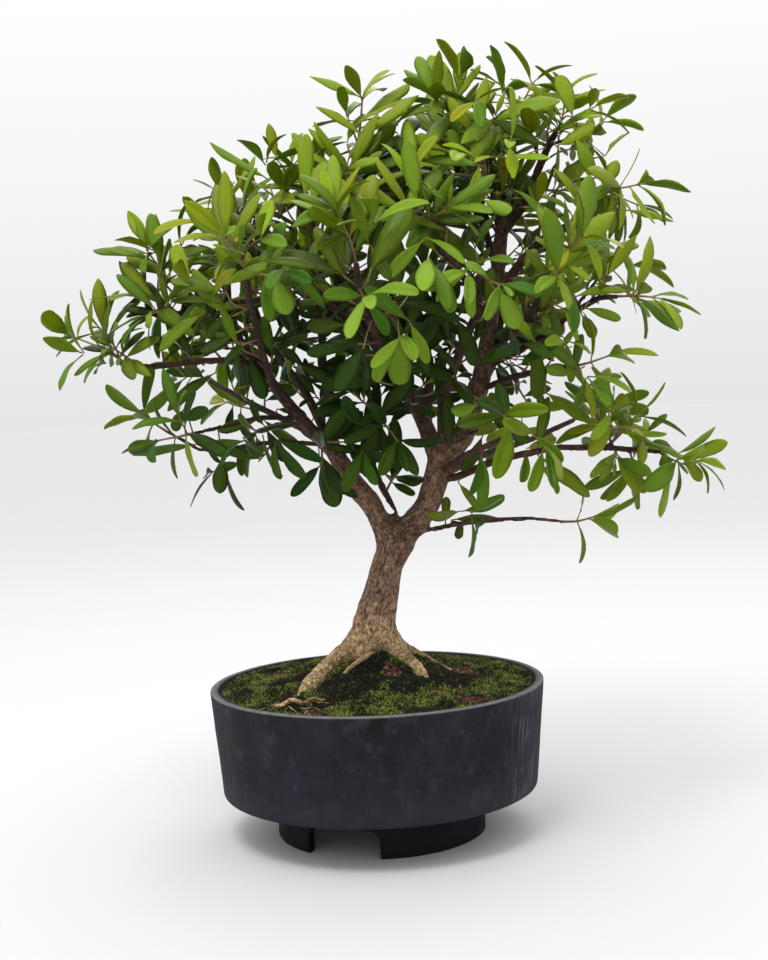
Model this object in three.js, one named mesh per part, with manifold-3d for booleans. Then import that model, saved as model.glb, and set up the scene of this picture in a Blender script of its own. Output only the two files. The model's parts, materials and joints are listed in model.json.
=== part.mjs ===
// Pomegranate bonsai in a round drum pot. Millimetres, +Z up.
// The pot stands on z = 0. Tree and soil are measured from the middle of the rim plane: x to the
// right, y to the back, z above the rim.
import * as THREE from "three";
import { mergeVertices } from "three/addons/utils/BufferGeometryUtils.js";
import Module from "manifold-3d";

const wasm = await Module();
wasm.setup();

// ---------- driving dimensions ----------

const GAP = 0.3; // clearance kept between neighbouring pieces
const WELD_DISTANCE = 1e-4; // points closer than this are one

const RIM_RADIUS = 105;
const POT_HEIGHT = 94;
const BODY_HEIGHT = 66; // drum wall, from its bottom edge to the rim
const BODY_BOTTOM_RADIUS = 99;
const WALL = 5.5;
const FLOOR = 6;
const RIM_CHAMFER = 1.4;
const POT_SEGMENTS = 36;

const FOOT_RADIUS = 66;
const FOOT_WALL = 8;
const FOOT_NOTCHES = 3;
const NOTCH_ANGLE = -112.5; // degrees round from +x to the middle of the first notch
const NOTCH_WIDTH = 46;
const NOTCH_HEIGHT = 17;
const NOTCH_CORNER = 7;
const NOTCH_CORNER_STEPS = 3;
const DRAIN_RADIUS = 6;
const DRAIN_CIRCLE = 34;
const DRAIN_SIDES = 8;

const SOIL_EDGE = -2.5; // soil level at the rim, below the rim plane
const MOUND_HEIGHT = 19;
const MOUND_SPREAD = 55;
const SOIL_RINGS = [RIM_RADIUS - WALL - GAP - 0.5, 64, 36, 0]; // radii where its facets meet

const TRUNK_SIDES = 9;
const ROOT_SIDES = 5;
const TWIG_SIDES = 3;
const LIMB_SIDES = [[4, 6], [2.6, 5], [2.2, 4], [0, 3]]; // least radius at the foot, sides
const TWIG_RADIUS = 1.2;
const TWIG_LEAD = 0.35; // how far a twig first follows its limb, as a share of its own direction
const TWIG_SET_BACK = { share: 0.5, least: 3 }; // where it leaves the limb, short of its foot
const BEND_LEAD = 0.45; // how far a bent stem holds its first direction, of its whole reach
const LOOSE_ROOT_RADIUS = 1.7;

const STEM_RADIUS = 1.2; // green stem of a spray; it is square, with a leaf on each face in turn
const FORK_PLACE = 0.2; // a spray's further stems leave its first one below here
const NODE_PLACE = 0.5; // where the lower leaf pair sits along a stem; the upper one is at its tip
const NODE_HEIGHT = 2; // height of a leaf's root on the stem
const NODE_FACES = [[0, 2], [1, 3]]; // the faces with leaves, at the lower and the upper pair
const NODE_ANGLES = [1.1, 0.75]; // radians between leaf and stem
const TIP_LEAF_ANGLE = 0.2;
const LEAF_LENGTH = [23, 33];
const LEAF_WIDTH = [0.25, 0.33]; // of its length
const LEAF_THICKNESS = 0.7;
const LEAF_OUTLINE = [[0.4, 0.9], [0.76, 0.95]]; // place along the rib, share of the greatest width
const LEAF_CLEARANCE = 0.35;
const CROWN_CENTRE = [20, 0, 195]; // leaves turn their faces up, along their stem and away from here
const FACE_LEAN = { up: 0.4, along: 0.35, out: 0.75 };
const LEAF_ROLL = 1.1; // range of a leaf's random roll round its rib, radians
const ROOT_PLACE = 0.05; // from here on, along its rib, a leaf stays clear of other sprays and wood
const FREE_PLACE = 0.2; // and from here on, of its own spray too
const SEED = 20261;

// ---------- the wood: routes of the trunk, roots and limbs ----------

// [x, y, z, radius] at each point
const TRUNK = [
  [2, 4, -14, 17], [1, 3, 8, 18], [-1, 1, 26, 15.5], [0, 0, 38, 13.4], [3, 0, 51, 11.8],
  [6, 0, 61, 11], [9, 0, 72, 10.4], [14, 0, 83, 10.6], [20, -1, 93, 10], [29, -2, 101, 8.8],
  [36, -2, 109, 8.2], [40, -4, 120, 8.2], [44, -6, 132, 8.6], [46, -8, 144, 7],
];

const ROOTS = [
  [[-4, 2, 28, 11], [-17, 0, 19, 8.5], [-29, -6, 12, 6.2], [-38, -30, 6.5, 5], [-45, -54, 2, 4],
    [-49, -66, -7, 2.5]],
  [[6, 0, 28, 10], [16, -4, 16, 7], [23, -14, 10, 5.2], [29, -34, 4.5, 4], [33, -46, -5, 2.5]],
  [[8, 3, 26, 8], [24, 12, 14, 4.4], [36, 6, 8, 3.2], [46, -6, 4, 2.6], [54, -14, -5, 2]],
  [[-2, -4, 18, 6], [-9, -12, 12.5, 3.6], [-18, -22, 8.5, 2.6], [-24, -32, 1, 2]],
  [[-4, 8, 26, 9], [-16, 26, 13, 5.4], [-25, 46, 5, 4], [-30, 60, -6, 2.5]],
  [[6, 10, 24, 8], [16, 30, 11.5, 5], [23, 50, 4, 3.6], [27, 62, -6, 2.5]],
];

// name: [radius at the foot, radius at the tip, [x, y, z] ...]
const LIMBS = {
  left_main: [9.4, 5.6, [13, 0, 82], [7, 1, 103], [-1, 4, 114], [-9, 6, 124], [-17, 8, 138], [-23, 10, 149]],
  left_outer: [5, 2, [-21, 9, 145], [-35, 0, 160], [-47, -12, 176], [-59, -22, 193], [-74, -32, 215],
    [-80, -36, 237], [-79, -40, 262]],
  left_inner: [3.6, 1.5, [-21, 9, 145], [-34, 20, 175], [-42, 28, 190], [-51, 36, 201], [-66, 50, 226],
    [-74, 60, 253]],
  left_rising: [3.4, 1.5, [-20, 9, 144], [-21, 6, 178], [-26, 0, 197], [-25, -4, 215], [-29, -8, 240],
    [-27, -10, 263], [-28, -12, 290]],
  crotch_twig: [2.3, 1.4, [20, 0, 98], [9, 18, 120], [3, 34, 134], [9, 52, 150], [9, 70, 177], [6, 85, 211]],
  left_fork: [6.4, 1.6, [44, -7, 136], [38, 2, 157], [33, 8, 170], [25, 12, 182], [14, 18, 203], [3, 20, 219],
    [-7, 16, 238], [-11, 8, 259], [-3, 0, 288]],
  middle_back: [4, 2, [38, 2, 155], [40, 22, 176], [44, 40, 195], [41, 55, 215], [38, 66, 236],
    [39, 76, 264]],
  middle_front: [4.4, 1.6, [47, -9, 142], [47, -30, 175], [52, -40, 190], [60, -55, 210], [67, -70, 226],
    [66, -88, 244]],
  leader: [8, 4.4, [45, -7, 137], [60, -8, 152], [66, -6, 168], [72, -4, 184], [77, -2, 205],
    [81, 0, 230], [86, 0, 255], [90, 2, 284]],
  right_lead: [3.8, 1.5, [89, 1, 277], [99, 2, 288], [108, 0, 301], [113, 0, 315], [120, -2, 330],
    [125, -4, 338]],
  left_lead: [3.8, 1.5, [89, 1, 277], [86, 0, 295], [84, -2, 314], [81, -4, 334]],
  right_upper: [3.8, 1.6, [84, 0, 242], [93, -8, 250], [103, -15, 262], [113, -20, 271], [133, -28, 280],
    [146, -30, 297]],
  right_mid: [2.3, 1.2, [76, -2, 194], [96, -16, 204], [111, -26, 212], [126, -36, 224], [142, -44, 232],
    [152, -48, 232]],
  grey_twig: [2.3, 1.2, [71, -4, 180], [89, -24, 187], [105, -40, 190], [124, -55, 192]],
  low_right: [2.6, 1.1, [43, -5, 124], [56, -16, 128], [74, -30, 136], [89, -38, 140], [115, -40, 144],
    [147, -30, 142], [180, -20, 138]],
  lowest_right: [2, 1.1, [26, -2, 92], [49, -8, 97], [74, -14, 100], [99, -16, 100], [120, -16, 97]],
  long_left: [2.3, 1.2, [-60, -22, 196], [-74, -40, 204], [-97, -45, 204], [-121, -40, 202],
    [-143, -32, 203]],
  low_left_front: [2, 1.1, [-40, -5, 167], [-64, -26, 169], [-82, -36, 165], [-105, -40, 161]],
  low_left_back: [2, 1.1, [-26, 8, 150], [-55, 16, 153], [-85, 26, 150], [-108, 30, 149],
    [-131, 34, 163]],
  upper_left: [2, 1.3, [-74, -32, 215], [-90, -40, 219], [-102, -36, 224], [-112, -30, 235]],
  crossing: [2.3, 1.3, [6, 19, 215], [-17, -20, 234], [-36, -45, 236], [-57, -65, 237], [-74, -75, 235]],
  left_shoulder: [2.3, 1.3, [2, 19, 221], [-18, 30, 244], [-39, 30, 254], [-59, 26, 265], [-69, 20, 282]],
  back_left: [3, 1.5, [30, 10, 175], [21, 55, 206], [-1, 88, 236], [-28, 108, 263]],
  back_right: [3.2, 1.5, [70, -4, 178], [86, 40, 200], [104, 80, 228], [126, 108, 253]],
  back_top: [2.8, 1.5, [86, 0, 252], [83, 45, 285], [73, 78, 320]],
  back_low_left: [2.6, 1.3, [-15, 7, 135], [-40, 45, 159], [-75, 72, 177], [-106, 85, 195]],
  back_low_right: [2.6, 1.3, [44, -6, 127], [74, 38, 138], [111, 72, 146], [144, 88, 158]],
  front_left: [2.4, 1.3, [-56, -20, 189], [-59, -58, 207], [-62, -88, 230], [-63, -100, 248]],
  front_middle: [3, 1.4, [35, 6, 166], [24, -32, 185], [10, -68, 208], [0, -95, 232], [-2, -108, 252]],
  front_right: [2.4, 1.3, [75, -3, 199], [93, -48, 217], [106, -78, 235], [112, -92, 249]],
  front_low: [2.3, 1.2, [43, -6, 129], [58, -48, 142], [76, -82, 151], [85, -98, 155]],
};

// ---------- leafy sprays ----------

// name: [foot, tip ...]: the foot is the tip of the limb of that name or a point that a woody twig
// runs to, and each tip ends one green stem
const SPRAYS = {
  far_left: ["long_left", [-168, -38, 212], [-158, -24, 226]],
  left_top: [[-106, -22, 246], [-124, -30, 272], [-108, -16, 276]],
  left_middle: ["upper_left", [-136, -22, 247], [-126, -44, 232]],
  left_inner: ["crossing", [-95, -88, 246], [-88, -96, 228]],
  left_high: ["left_outer", [-90, -48, 287], [-66, -52, 284]],
  left_peak: ["left_shoulder", [-82, 12, 308], [-66, 36, 306]],
  left_front: ["front_left", [-73, -112, 268], [-52, -120, 266], [-40, -118, 248]],
  shoulder: [[-46, -6, 290], [-54, -16, 324], [-40, 10, 326]],
  shoulder_right: ["left_rising", [-30, -26, 320], [-20, 8, 322]],
  top_stem: [[2, 0, 336], [6, 0, 364]],
  middle_top: ["left_fork", [-10, -32, 312], [14, 20, 314]],
  middle_front: ["front_middle", [-12, -118, 280], [8, -132, 270]],
  right_of_middle: [[36, -78, 270], [29, -88, 298], [50, -102, 280]],
  hanging_left: [[0, -114, 236], [4, -140, 231]],
  hanging_middle: [[21, -108, 222], [20, -134, 209]],
  hanging_right: [[42, -98, 262], [38, -126, 249]],
  hanging_far_right: ["middle_front", [58, -118, 243], [76, -116, 236]],
  crown_top: [[68, 6, 346], [67, -2, 374], [50, -16, 358]],
  crown_left: ["left_lead", [73, -42, 351], [92, -12, 362]],
  crown_middle: [[105, 20, 350], [98, 34, 375], [114, 12, 372]],
  crown_right: ["right_lead", [131, -3, 360], [144, -24, 347]],
  crown_far_right: [[142, 20, 336], [160, 26, 350]],
  crown_front: [[77, -48, 308], [58, -78, 312], [88, -76, 318]],
  right_high: ["right_upper", [151, -18, 320], [168, -42, 298], [174, -8, 290]],
  right_out: [[148, -10, 248], [170, 0, 254]],
  right_tip: ["right_mid", [172, -56, 230]],
  right_middle: ["grey_twig", [143, -64, 197], [127, -82, 184]],
  right_front: ["front_right", [122, -112, 260], [106, -122, 238]],
  right_front_low: [[108, -60, 214], [112, -96, 205], [88, -96, 204]],
  low_right_up: [[149, -31, 146], [165, -33, 162], [143, -54, 164]],
  low_right_down: [[161, -22, 138], [162, -6, 126]],
  low_right_end: ["low_right", [203, -18, 131]],
  front_low: ["front_low", [96, -122, 146], [74, -120, 166]],
  lowest_end: ["lowest_right", [136, -19, 99]],
  lowest_start: [[52, -10, 100], [62, -32, 105]],
  low_left_end: ["low_left_front", [-124, -46, 158], [-108, -60, 170]],
  low_left_tip: ["low_left_back", [-145, 38, 174]],
  low_left_down: [[-86, 26, 146], [-98, 8, 136]],
  low_left_front: [[-63, -30, 166], [-72, -58, 156], [-52, -62, 154]],
  inner_left: [[-30, -6, 154], [-28, -34, 138]],
  inner_low: [[8, -22, 168], [-2, -46, 146], [18, -56, 152]],
  inner_right: [[68, -26, 156], [66, -56, 142]],
  back_left: ["back_left", [-46, 118, 284], [-14, 130, 288]],
  back_left_low: [[-10, 101, 246], [2, 136, 266]],
  back_far_left: ["back_low_left", [-129, 92, 205], [-112, 109, 220]],
  back_far_left_low: [[-72, 78, 174], [-78, 100, 156], [-98, 112, 180]],
  back_left_high: ["left_inner", [-88, 70, 278], [-62, 90, 283]],
  back_middle: ["middle_back", [24, 106, 288], [54, 92, 296]],
  back_middle_low: ["crotch_twig", [-6, 116, 226], [26, 126, 232]],
  back_right: ["back_right", [150, 114, 268], [130, 116, 286]],
  back_right_inner: [[108, 90, 233], [100, 126, 256]],
  back_far_right: ["back_low_right", [169, 94, 167], [156, 112, 180]],
  back_right_low: [[112, 76, 146], [120, 100, 126], [98, 118, 156]],
  back_top: ["back_top", [62, 92, 350], [92, 82, 350]],
  back_top_inner: [[80, 52, 290], [60, 112, 312]],
};

// ---------- helpers ----------

const UP = new THREE.Vector3(0, 0, 1);

function vector([x, y, z]) {
  return new THREE.Vector3(x, y, z);
}

function seededRandom(seed) {
  let state = seed;
  return () => {
    state = (state * 1664525 + 1013904223) % 4294967296;
    return state / 4294967296;
  };
}

// a closed geometry as a solid that can be joined and cut
function solidOf(geometry) {
  geometry.deleteAttribute("normal");
  geometry.deleteAttribute("uv");
  const merged = mergeVertices(geometry, WELD_DISTANCE);
  return new wasm.Manifold(
    new wasm.Mesh({
      numProp: 3,
      vertProperties: merged.getAttribute("position").array,
      triVerts: Uint32Array.from(merged.getIndex().array),
    }),
  );
}

function geometryOf(solid) {
  const { vertProperties, triVerts } = solid.getMesh();
  const geometry = new THREE.BufferGeometry();
  geometry.setAttribute("position", new THREE.BufferAttribute(vertProperties, 3));
  geometry.setIndex(new THREE.BufferAttribute(triVerts, 1));
  return geometry;
}

function join(solids) {
  return solids.reduce((sum, solid) => sum.add(solid));
}

// a closed tube along a curve; radiusAt takes the place along it, from 0 to 1
function tube(curve, steps, sides, radiusAt, grow = 0) {
  const geometry = new THREE.CylinderGeometry(1, 1, 1, sides, steps);
  const side = new THREE.Vector3(0, 1, 0);
  const rings = [];
  for (let i = 0; i <= steps; i += 1) {
    const tangent = curve.getTangent(i / steps);
    side.addScaledVector(tangent, -side.dot(tangent)).normalize();
    const centre = curve.getPoint(i / steps);
    if (i === 0) centre.addScaledVector(tangent, -grow);
    if (i === steps) centre.addScaledVector(tangent, grow);
    const other = side.clone().cross(tangent);
    rings.push({ centre, side: side.clone(), other, radius: radiusAt(i / steps) + grow });
  }
  const position = geometry.getAttribute("position");
  for (let i = 0; i < position.count; i += 1) {
    const ring = rings[Math.round((position.getY(i) + 0.5) * steps)];
    const place = ring.centre.clone();
    place.addScaledVector(ring.side, position.getX(i) * ring.radius);
    place.addScaledVector(ring.other, position.getZ(i) * ring.radius);
    position.setXYZ(i, place.x, place.y, place.z);
  }
  return solidOf(geometry);
}

function smoothCurve(points) {
  return new THREE.CatmullRomCurve3(points.map(vector), false, "centripetal");
}

// a tube whose radius is given at each of its points
function routeTube(route, sides, grow = 0) {
  const spans = route.length - 1;
  const radiusAt = (t) => {
    const i = Math.min(Math.floor(t * spans), spans - 1);
    return THREE.MathUtils.lerp(route[i][3], route[i + 1][3], t * spans - i);
  };
  return tube(smoothCurve(route), spans, sides, radiusAt, grow);
}

// a curve that leaves start along direction and bends to end
function bentCurve(start, direction, end) {
  const lead = start.distanceTo(end) * BEND_LEAD;
  return new THREE.QuadraticBezierCurve3(start, start.clone().addScaledVector(direction, lead), end);
}

// ---------- pot and soil ----------

function outerRadius(height) {
  const base = POT_HEIGHT - BODY_HEIGHT;
  return THREE.MathUtils.mapLinear(height, base, POT_HEIGHT, BODY_BOTTOM_RADIUS, RIM_RADIUS);
}

function lathe(profile) {
  const points = profile.map(([radius, height]) => new THREE.Vector2(radius, height));
  return solidOf(new THREE.LatheGeometry(points, POT_SEGMENTS).rotateX(Math.PI / 2));
}

function footNotch(angle) {
  const shape = new THREE.Shape();
  const half = NOTCH_WIDTH / 2;
  shape.moveTo(-half, -1);
  shape.lineTo(half, -1);
  shape.lineTo(half, NOTCH_HEIGHT - NOTCH_CORNER);
  shape.absarc(half - NOTCH_CORNER, NOTCH_HEIGHT - NOTCH_CORNER, NOTCH_CORNER, 0, Math.PI / 2);
  shape.absarc(NOTCH_CORNER - half, NOTCH_HEIGHT - NOTCH_CORNER, NOTCH_CORNER, Math.PI / 2, Math.PI);
  const options = { depth: FOOT_RADIUS, bevelEnabled: false, curveSegments: NOTCH_CORNER_STEPS };
  const cutter = new THREE.ExtrudeGeometry(shape, options);
  cutter.rotateX(Math.PI / 2);
  cutter.translate(0, -FOOT_RADIUS / 3, 0);
  cutter.rotateZ(THREE.MathUtils.degToRad(angle + 90));
  return solidOf(cutter);
}

function pot() {
  const base = POT_HEIGHT - BODY_HEIGHT;
  const inside = base + FLOOR;
  const top = POT_HEIGHT;
  let body = lathe([
    [0, base + 1],
    [FOOT_RADIUS - FOOT_WALL, base + 1],
    [FOOT_RADIUS - FOOT_WALL, 0],
    [FOOT_RADIUS, 0],
    [FOOT_RADIUS, base],
    [BODY_BOTTOM_RADIUS, base],
    [RIM_RADIUS, top - RIM_CHAMFER],
    [RIM_RADIUS - RIM_CHAMFER, top],
    [RIM_RADIUS - WALL, top],
    [outerRadius(inside) - WALL, inside],
    [0, inside],
  ]);
  for (let i = 0; i < FOOT_NOTCHES; i += 1) {
    const angle = NOTCH_ANGLE + (i * 360) / FOOT_NOTCHES;
    body = body.subtract(footNotch(angle));
    const drain = new THREE.CylinderGeometry(DRAIN_RADIUS, DRAIN_RADIUS, FLOOR * 3, DRAIN_SIDES);
    drain.rotateX(Math.PI / 2);
    drain.translate(DRAIN_CIRCLE, 0, inside - FLOOR / 2);
    drain.rotateZ(THREE.MathUtils.degToRad(angle));
    body = body.subtract(solidOf(drain));
  }
  return body;
}

// height of the mound above the rim plane, at a distance from the pot's axis
function moundTop(radius) {
  return SOIL_EDGE + MOUND_HEIGHT * Math.exp(-((radius / MOUND_SPREAD) ** 2));
}

// the same on the soil's facets, whose corners are on the mound
function soilTop(radius) {
  const inner = SOIL_RINGS.findIndex((ring) => ring <= radius);
  const ends = [SOIL_RINGS[inner], SOIL_RINGS[inner - 1]];
  return THREE.MathUtils.mapLinear(radius, ...ends, ...ends.map(moundTop));
}

function soil() {
  const bottom = POT_HEIGHT - BODY_HEIGHT + FLOOR + GAP;
  const top = SOIL_RINGS.map((radius) => [radius, POT_HEIGHT + moundTop(radius)]);
  const body = lathe([
    [0, bottom],
    [outerRadius(bottom) - WALL - GAP, bottom],
    ...top,
  ]);
  const socket = join([
    routeTube(TRUNK.slice(0, 4), TRUNK_SIDES, GAP),
    ...ROOTS.map((root) => routeTube(root, ROOT_SIDES, GAP)),
  ]);
  return body.subtract(socket.translate(0, 0, POT_HEIGHT));
}

// the loose piece of old root that lies on the soil at the front left
function looseRoot() {
  const places = [[-63, -66, 0.6], [-56, -69, 1], [-47, -65, 1], [-39, -67, 1], [-31, -63, 0.6]];
  const route = places.map(([x, y, share]) => {
    const z = soilTop(Math.hypot(x, y)) + LOOSE_ROOT_RADIUS + GAP;
    return [x, y, z, share * LOOSE_ROOT_RADIUS];
  });
  return routeTube(route, ROOT_SIDES).translate(0, 0, POT_HEIGHT);
}

// ---------- wood ----------

function limbSides(footRadius) {
  return LIMB_SIDES.find(([least]) => footRadius >= least)[1];
}

const limbCurves = Object.fromEntries(
  Object.entries(LIMBS).map(([name, [, , ...points]]) => [name, smoothCurve(points)]),
);

function limbTube([name, [footRadius, tipRadius, ...points]]) {
  const taper = (t) => THREE.MathUtils.lerp(footRadius, tipRadius, t);
  return tube(limbCurves[name], points.length - 1, limbSides(footRadius), taper);
}

// the twig that carries a spray: it leaves the nearest limb a little before the nearest point
function twigTo(foot) {
  let nearest = { distance: Infinity };
  for (const curve of Object.values(limbCurves)) {
    const samples = curve.points.length * 6;
    for (let i = 0; i <= samples; i += 1) {
      const distance = curve.getPoint(i / samples).distanceTo(foot);
      if (distance < nearest.distance) nearest = { distance, curve, t: i / samples };
    }
  }
  const { curve, distance } = nearest;
  const back = Math.max(TWIG_SET_BACK.least, distance * TWIG_SET_BACK.share) / curve.getLength();
  const t = Math.max(0, nearest.t - back);
  const start = curve.getPoint(t);
  const direction = foot.clone().sub(start).normalize();
  direction.addScaledVector(curve.getTangent(t), TWIG_LEAD).normalize();
  return bentCurve(start, direction, foot);
}

function twigTube(curve) {
  return tube(curve, 2, TWIG_SIDES, () => TWIG_RADIUS);
}

// ---------- sprays: square stems with leaves drawn out of their faces ----------

// a mesh in the making: points, and triangles by their numbers
class Draft {
  points = [];

  triangles = [];

  add(points) {
    return points.map((point) => this.points.push(point) - 1);
  }

  // faces between two rings of four, split alike above and below
  band(lower, upper, open = []) {
    for (let k = 0; k < 4; k += 1) {
      const [a, b, c, d] = sideOf(lower, upper, k);
      if (open.includes(k)) continue;
      if (k === 2) this.triangles.push(a, b, d, b, c, d);
      else this.triangles.push(a, b, c, a, c, d);
    }
  }

  cap([a, b, c, d]) {
    this.triangles.push(a, b, c, a, c, d);
  }

  point(ring, tip) {
    ring.forEach((corner, k) => this.triangles.push(corner, ring[(k + 1) % 4], tip));
  }

  geometry() {
    const geometry = new THREE.BufferGeometry().setFromPoints(this.points);
    geometry.setIndex(this.triangles);
    return geometry;
  }
}

// the k-th face between two rings, its corners in their order from outside
function sideOf(lower, upper, k) {
  const next = (k + 1) % 4;
  return [lower[k], lower[next], upper[next], upper[k]];
}

// the four corners of a stem's square section; face k looks along the k-th direction
function squareRing({ centre, directions }) {
  const reach = STEM_RADIUS / Math.SQRT2;
  return directions.map((direction, k) =>
    centre.clone().addScaledVector(directions[(k + 3) % 4], reach).addScaledVector(direction, reach));
}

// centre, tangent and the directions of the four faces, at places along a stem
function stemFrames(curve, places, spin) {
  const first = curve.getTangent(0);
  const reference = Math.abs(first.z) < 0.9 ? UP : new THREE.Vector3(1, 0, 0);
  const side = reference.clone().cross(first).normalize().applyAxisAngle(first, spin);
  return places.map((place) => {
    const tangent = curve.getTangent(place);
    side.addScaledVector(tangent, -side.dot(tangent)).normalize();
    const other = tangent.clone().cross(side);
    const directions = [side.clone(), other, side.clone().negate(), other.clone().negate()];
    return { centre: curve.getPoint(place), tangent, directions };
  });
}

// Reorders a face's corners to lie nearest to those of the section that is drawn out of it,
// which are given from its own centre.
function matched(draft, face, centre, section) {
  const fit = (shift) => face.reduce((sum, corner, k) =>
    sum + draft.points[corner].clone().sub(centre).dot(section[(k + shift) % 4]), 0);
  const shift = [0, 1, 2, 3].reduce((best, next) => (fit(next) > fit(best) ? next : best));
  return face.map((_, k) => face[(k + 4 - shift) % 4]);
}

// a leaf's random sizes, which it keeps however it turns
function newLeaf(frame, outward, angle, random) {
  return {
    base: frame.centre.clone().addScaledVector(outward, STEM_RADIUS / Math.SQRT2),
    tangent: frame.tangent,
    outward,
    angle: angle + (random() - 0.5) * 0.3,
    around: (random() - 0.5) * 0.6,
    droop: 0.1 + 0.25 * random(),
    length: THREE.MathUtils.lerp(...LEAF_LENGTH, random()),
    slim: THREE.MathUtils.lerp(...LEAF_WIDTH, random()),
    bend: 0.25 + 0.6 * random(),
    roll: (random() - 0.5) * LEAF_ROLL,
  };
}

// turns that a leaf tries, in degrees, until it is clear: away from the stem, and round the stem
const TURNS = [
  [0, 0], [14, 0], [-10, 0], [0, 22], [0, -22], [26, 12], [26, -12], [-8, 18], [-8, -18], [38, 0], [12, 40],
  [12, -40], [50, 20], [50, -20],
];

// where a leaf points and which way its face looks, after one of the turns
function posed(leaf, [angleTurn, aroundTurn]) {
  const angle = leaf.angle + THREE.MathUtils.degToRad(angleTurn);
  const around = leaf.around + THREE.MathUtils.degToRad(aroundTurn);
  const outward = leaf.outward.clone().applyAxisAngle(leaf.tangent, around);
  const along = leaf.tangent.clone().multiplyScalar(Math.cos(angle));
  along.addScaledVector(outward, Math.sin(angle)).addScaledVector(UP, -leaf.droop).normalize();
  const out = leaf.base.clone().sub(vector(CROWN_CENTRE)).normalize();
  const up = leaf.tangent.clone().multiplyScalar(FACE_LEAN.along).addScaledVector(UP, FACE_LEAN.up);
  up.addScaledVector(out, FACE_LEAN.out);
  up.addScaledVector(along, -up.dot(along)).normalize().applyAxisAngle(along, leaf.roll);
  return { ...leaf, along, up, right: up.clone().cross(along) };
}

// a point on the arched rib, and the way the leaf's face looks there
function onRib({ base, along, up, length, bend }, place) {
  const turn = bend * place;
  const centre = base.clone().addScaledVector(along, (length / bend) * Math.sin(turn));
  centre.addScaledVector(up, (length / bend) * (Math.cos(turn) - 1));
  const normal = up.clone().multiplyScalar(Math.cos(turn)).addScaledVector(along, Math.sin(turn));
  return { centre, normal };
}

// corners of a section, seen from the tip: low left, low right, high right, high left
const CORNERS = [[-1, -1], [1, -1], [1, 1], [-1, 1]];

function bladeRing(leaf, [place, share], grow = 0) {
  const { centre, normal } = onRib(leaf, place);
  const half = (leaf.length * leaf.slim * share) / 2 + grow;
  const thick = LEAF_THICKNESS / 2 + grow;
  return CORNERS.map(([across, above]) =>
    centre.clone().addScaledVector(leaf.right, half * across).addScaledVector(normal, thick * above));
}

// draws a leaf out of a face of the stem
function drawLeaf(draft, face, leaf) {
  const section = CORNERS.map(([across, above]) =>
    leaf.right.clone().multiplyScalar(across).addScaledVector(leaf.up, above));
  let ring = matched(draft, face, leaf.base, section);
  for (const station of LEAF_OUTLINE) {
    const next = draft.add(bladeRing(leaf, station));
    draft.band(ring, next);
    ring = next;
  }
  draft.point(ring, draft.add([onRib(leaf, 1).centre])[0]);
}

// a leaf from a place along its rib as a solid of its own
function bladeSolid(leaf, start, grow = 0) {
  const draft = new Draft();
  const stations = [[start, LEAF_OUTLINE[0][1] / 2], ...LEAF_OUTLINE];
  const rings = stations.map((station) => draft.add(bladeRing(leaf, station, grow)));
  draft.cap(rings[0].toReversed());
  draft.band(rings[0], rings[1]);
  draft.band(rings[1], rings[2]);
  draft.point(rings[2], draft.add([onRib(leaf, 1 + grow / leaf.length).centre])[0]);
  return solidOf(draft.geometry());
}

// One green stem: rings of four corners, and what grows from the bands between them. ends are the
// tips of further stems, which fork from it.
function newStem(curve, ends, random) {
  const height = NODE_HEIGHT / curve.getLength();
  const places = [NODE_PLACE - height / 2, NODE_PLACE + height / 2, 1 - height, 1];
  if (ends.length > 0) places.unshift(FORK_PLACE);
  const frames = stemFrames(curve, [0, ...places], random() * Math.PI);
  const stem = { frames, leaves: [], forks: [] };
  for (const end of ends) {
    const frame = frames[0];
    const taken = stem.forks.map(({ face }) => face);
    const free = [0, 1, 2, 3].filter((face) => !taken.includes(face));
    const lean = (face) => frame.directions[face].dot(end.clone().sub(frame.centre));
    const face = free.reduce((best, next) => (lean(next) > lean(best) ? next : best));
    const middle = frame.centre.clone().lerp(frames[1].centre, 0.5);
    const base = middle.addScaledVector(frame.directions[face], STEM_RADIUS / Math.SQRT2);
    const direction = end.clone().sub(base).normalize().add(frame.directions[face]).normalize();
    stem.forks.push({ face, stem: newStem(bentCurve(base, direction, end), [], random) });
  }
  NODE_FACES.forEach((faces, pair) => {
    const ring = frames.length - 4 + pair * 2;
    const frame = frames[ring];
    const middle = frame.centre.clone().lerp(frames[ring + 1].centre, 0.5);
    for (const face of faces) {
      const leaf = newLeaf({ ...frame, centre: middle }, frame.directions[face], NODE_ANGLES[pair], random);
      stem.leaves.push({ ring, face, leaf });
    }
  });
  const last = frames[frames.length - 1];
  const tipLeaf = newLeaf(last, last.directions[0], TIP_LEAF_ANGLE, random);
  stem.leaves.push({ ring: frames.length - 1, face: 0, leaf: { ...tipLeaf, base: last.centre } });
  return stem;
}

// draws a stem with its leaves and forks; first is the ring that it starts from
function drawStem(draft, stem, first) {
  let lower = first;
  for (let ring = 0; ring < stem.frames.length; ring += 1) {
    const isTip = ring === stem.frames.length - 1;
    const grown = stem.leaves.filter((leaf) => leaf.ring === ring && leaf.pose);
    const forks = ring === 0 ? stem.forks : [];
    if (isTip) {
      if (grown.length > 0) drawLeaf(draft, lower, grown[0].pose);
      else draft.cap(lower);
      continue;
    }
    const upper = draft.add(squareRing(stem.frames[ring + 1]));
    draft.band(lower, upper, [...grown, ...forks].map(({ face }) => face));
    for (const { face, pose } of grown) drawLeaf(draft, sideOf(lower, upper, face), pose);
    for (const fork of forks) {
      const start = fork.stem.frames[0];
      const section = squareRing({ ...start, centre: new THREE.Vector3() });
      const root = matched(draft, sideOf(lower, upper, fork.face), start.centre, section);
      drawStem(draft, fork.stem, root);
    }
    lower = upper;
  }
}

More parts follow.
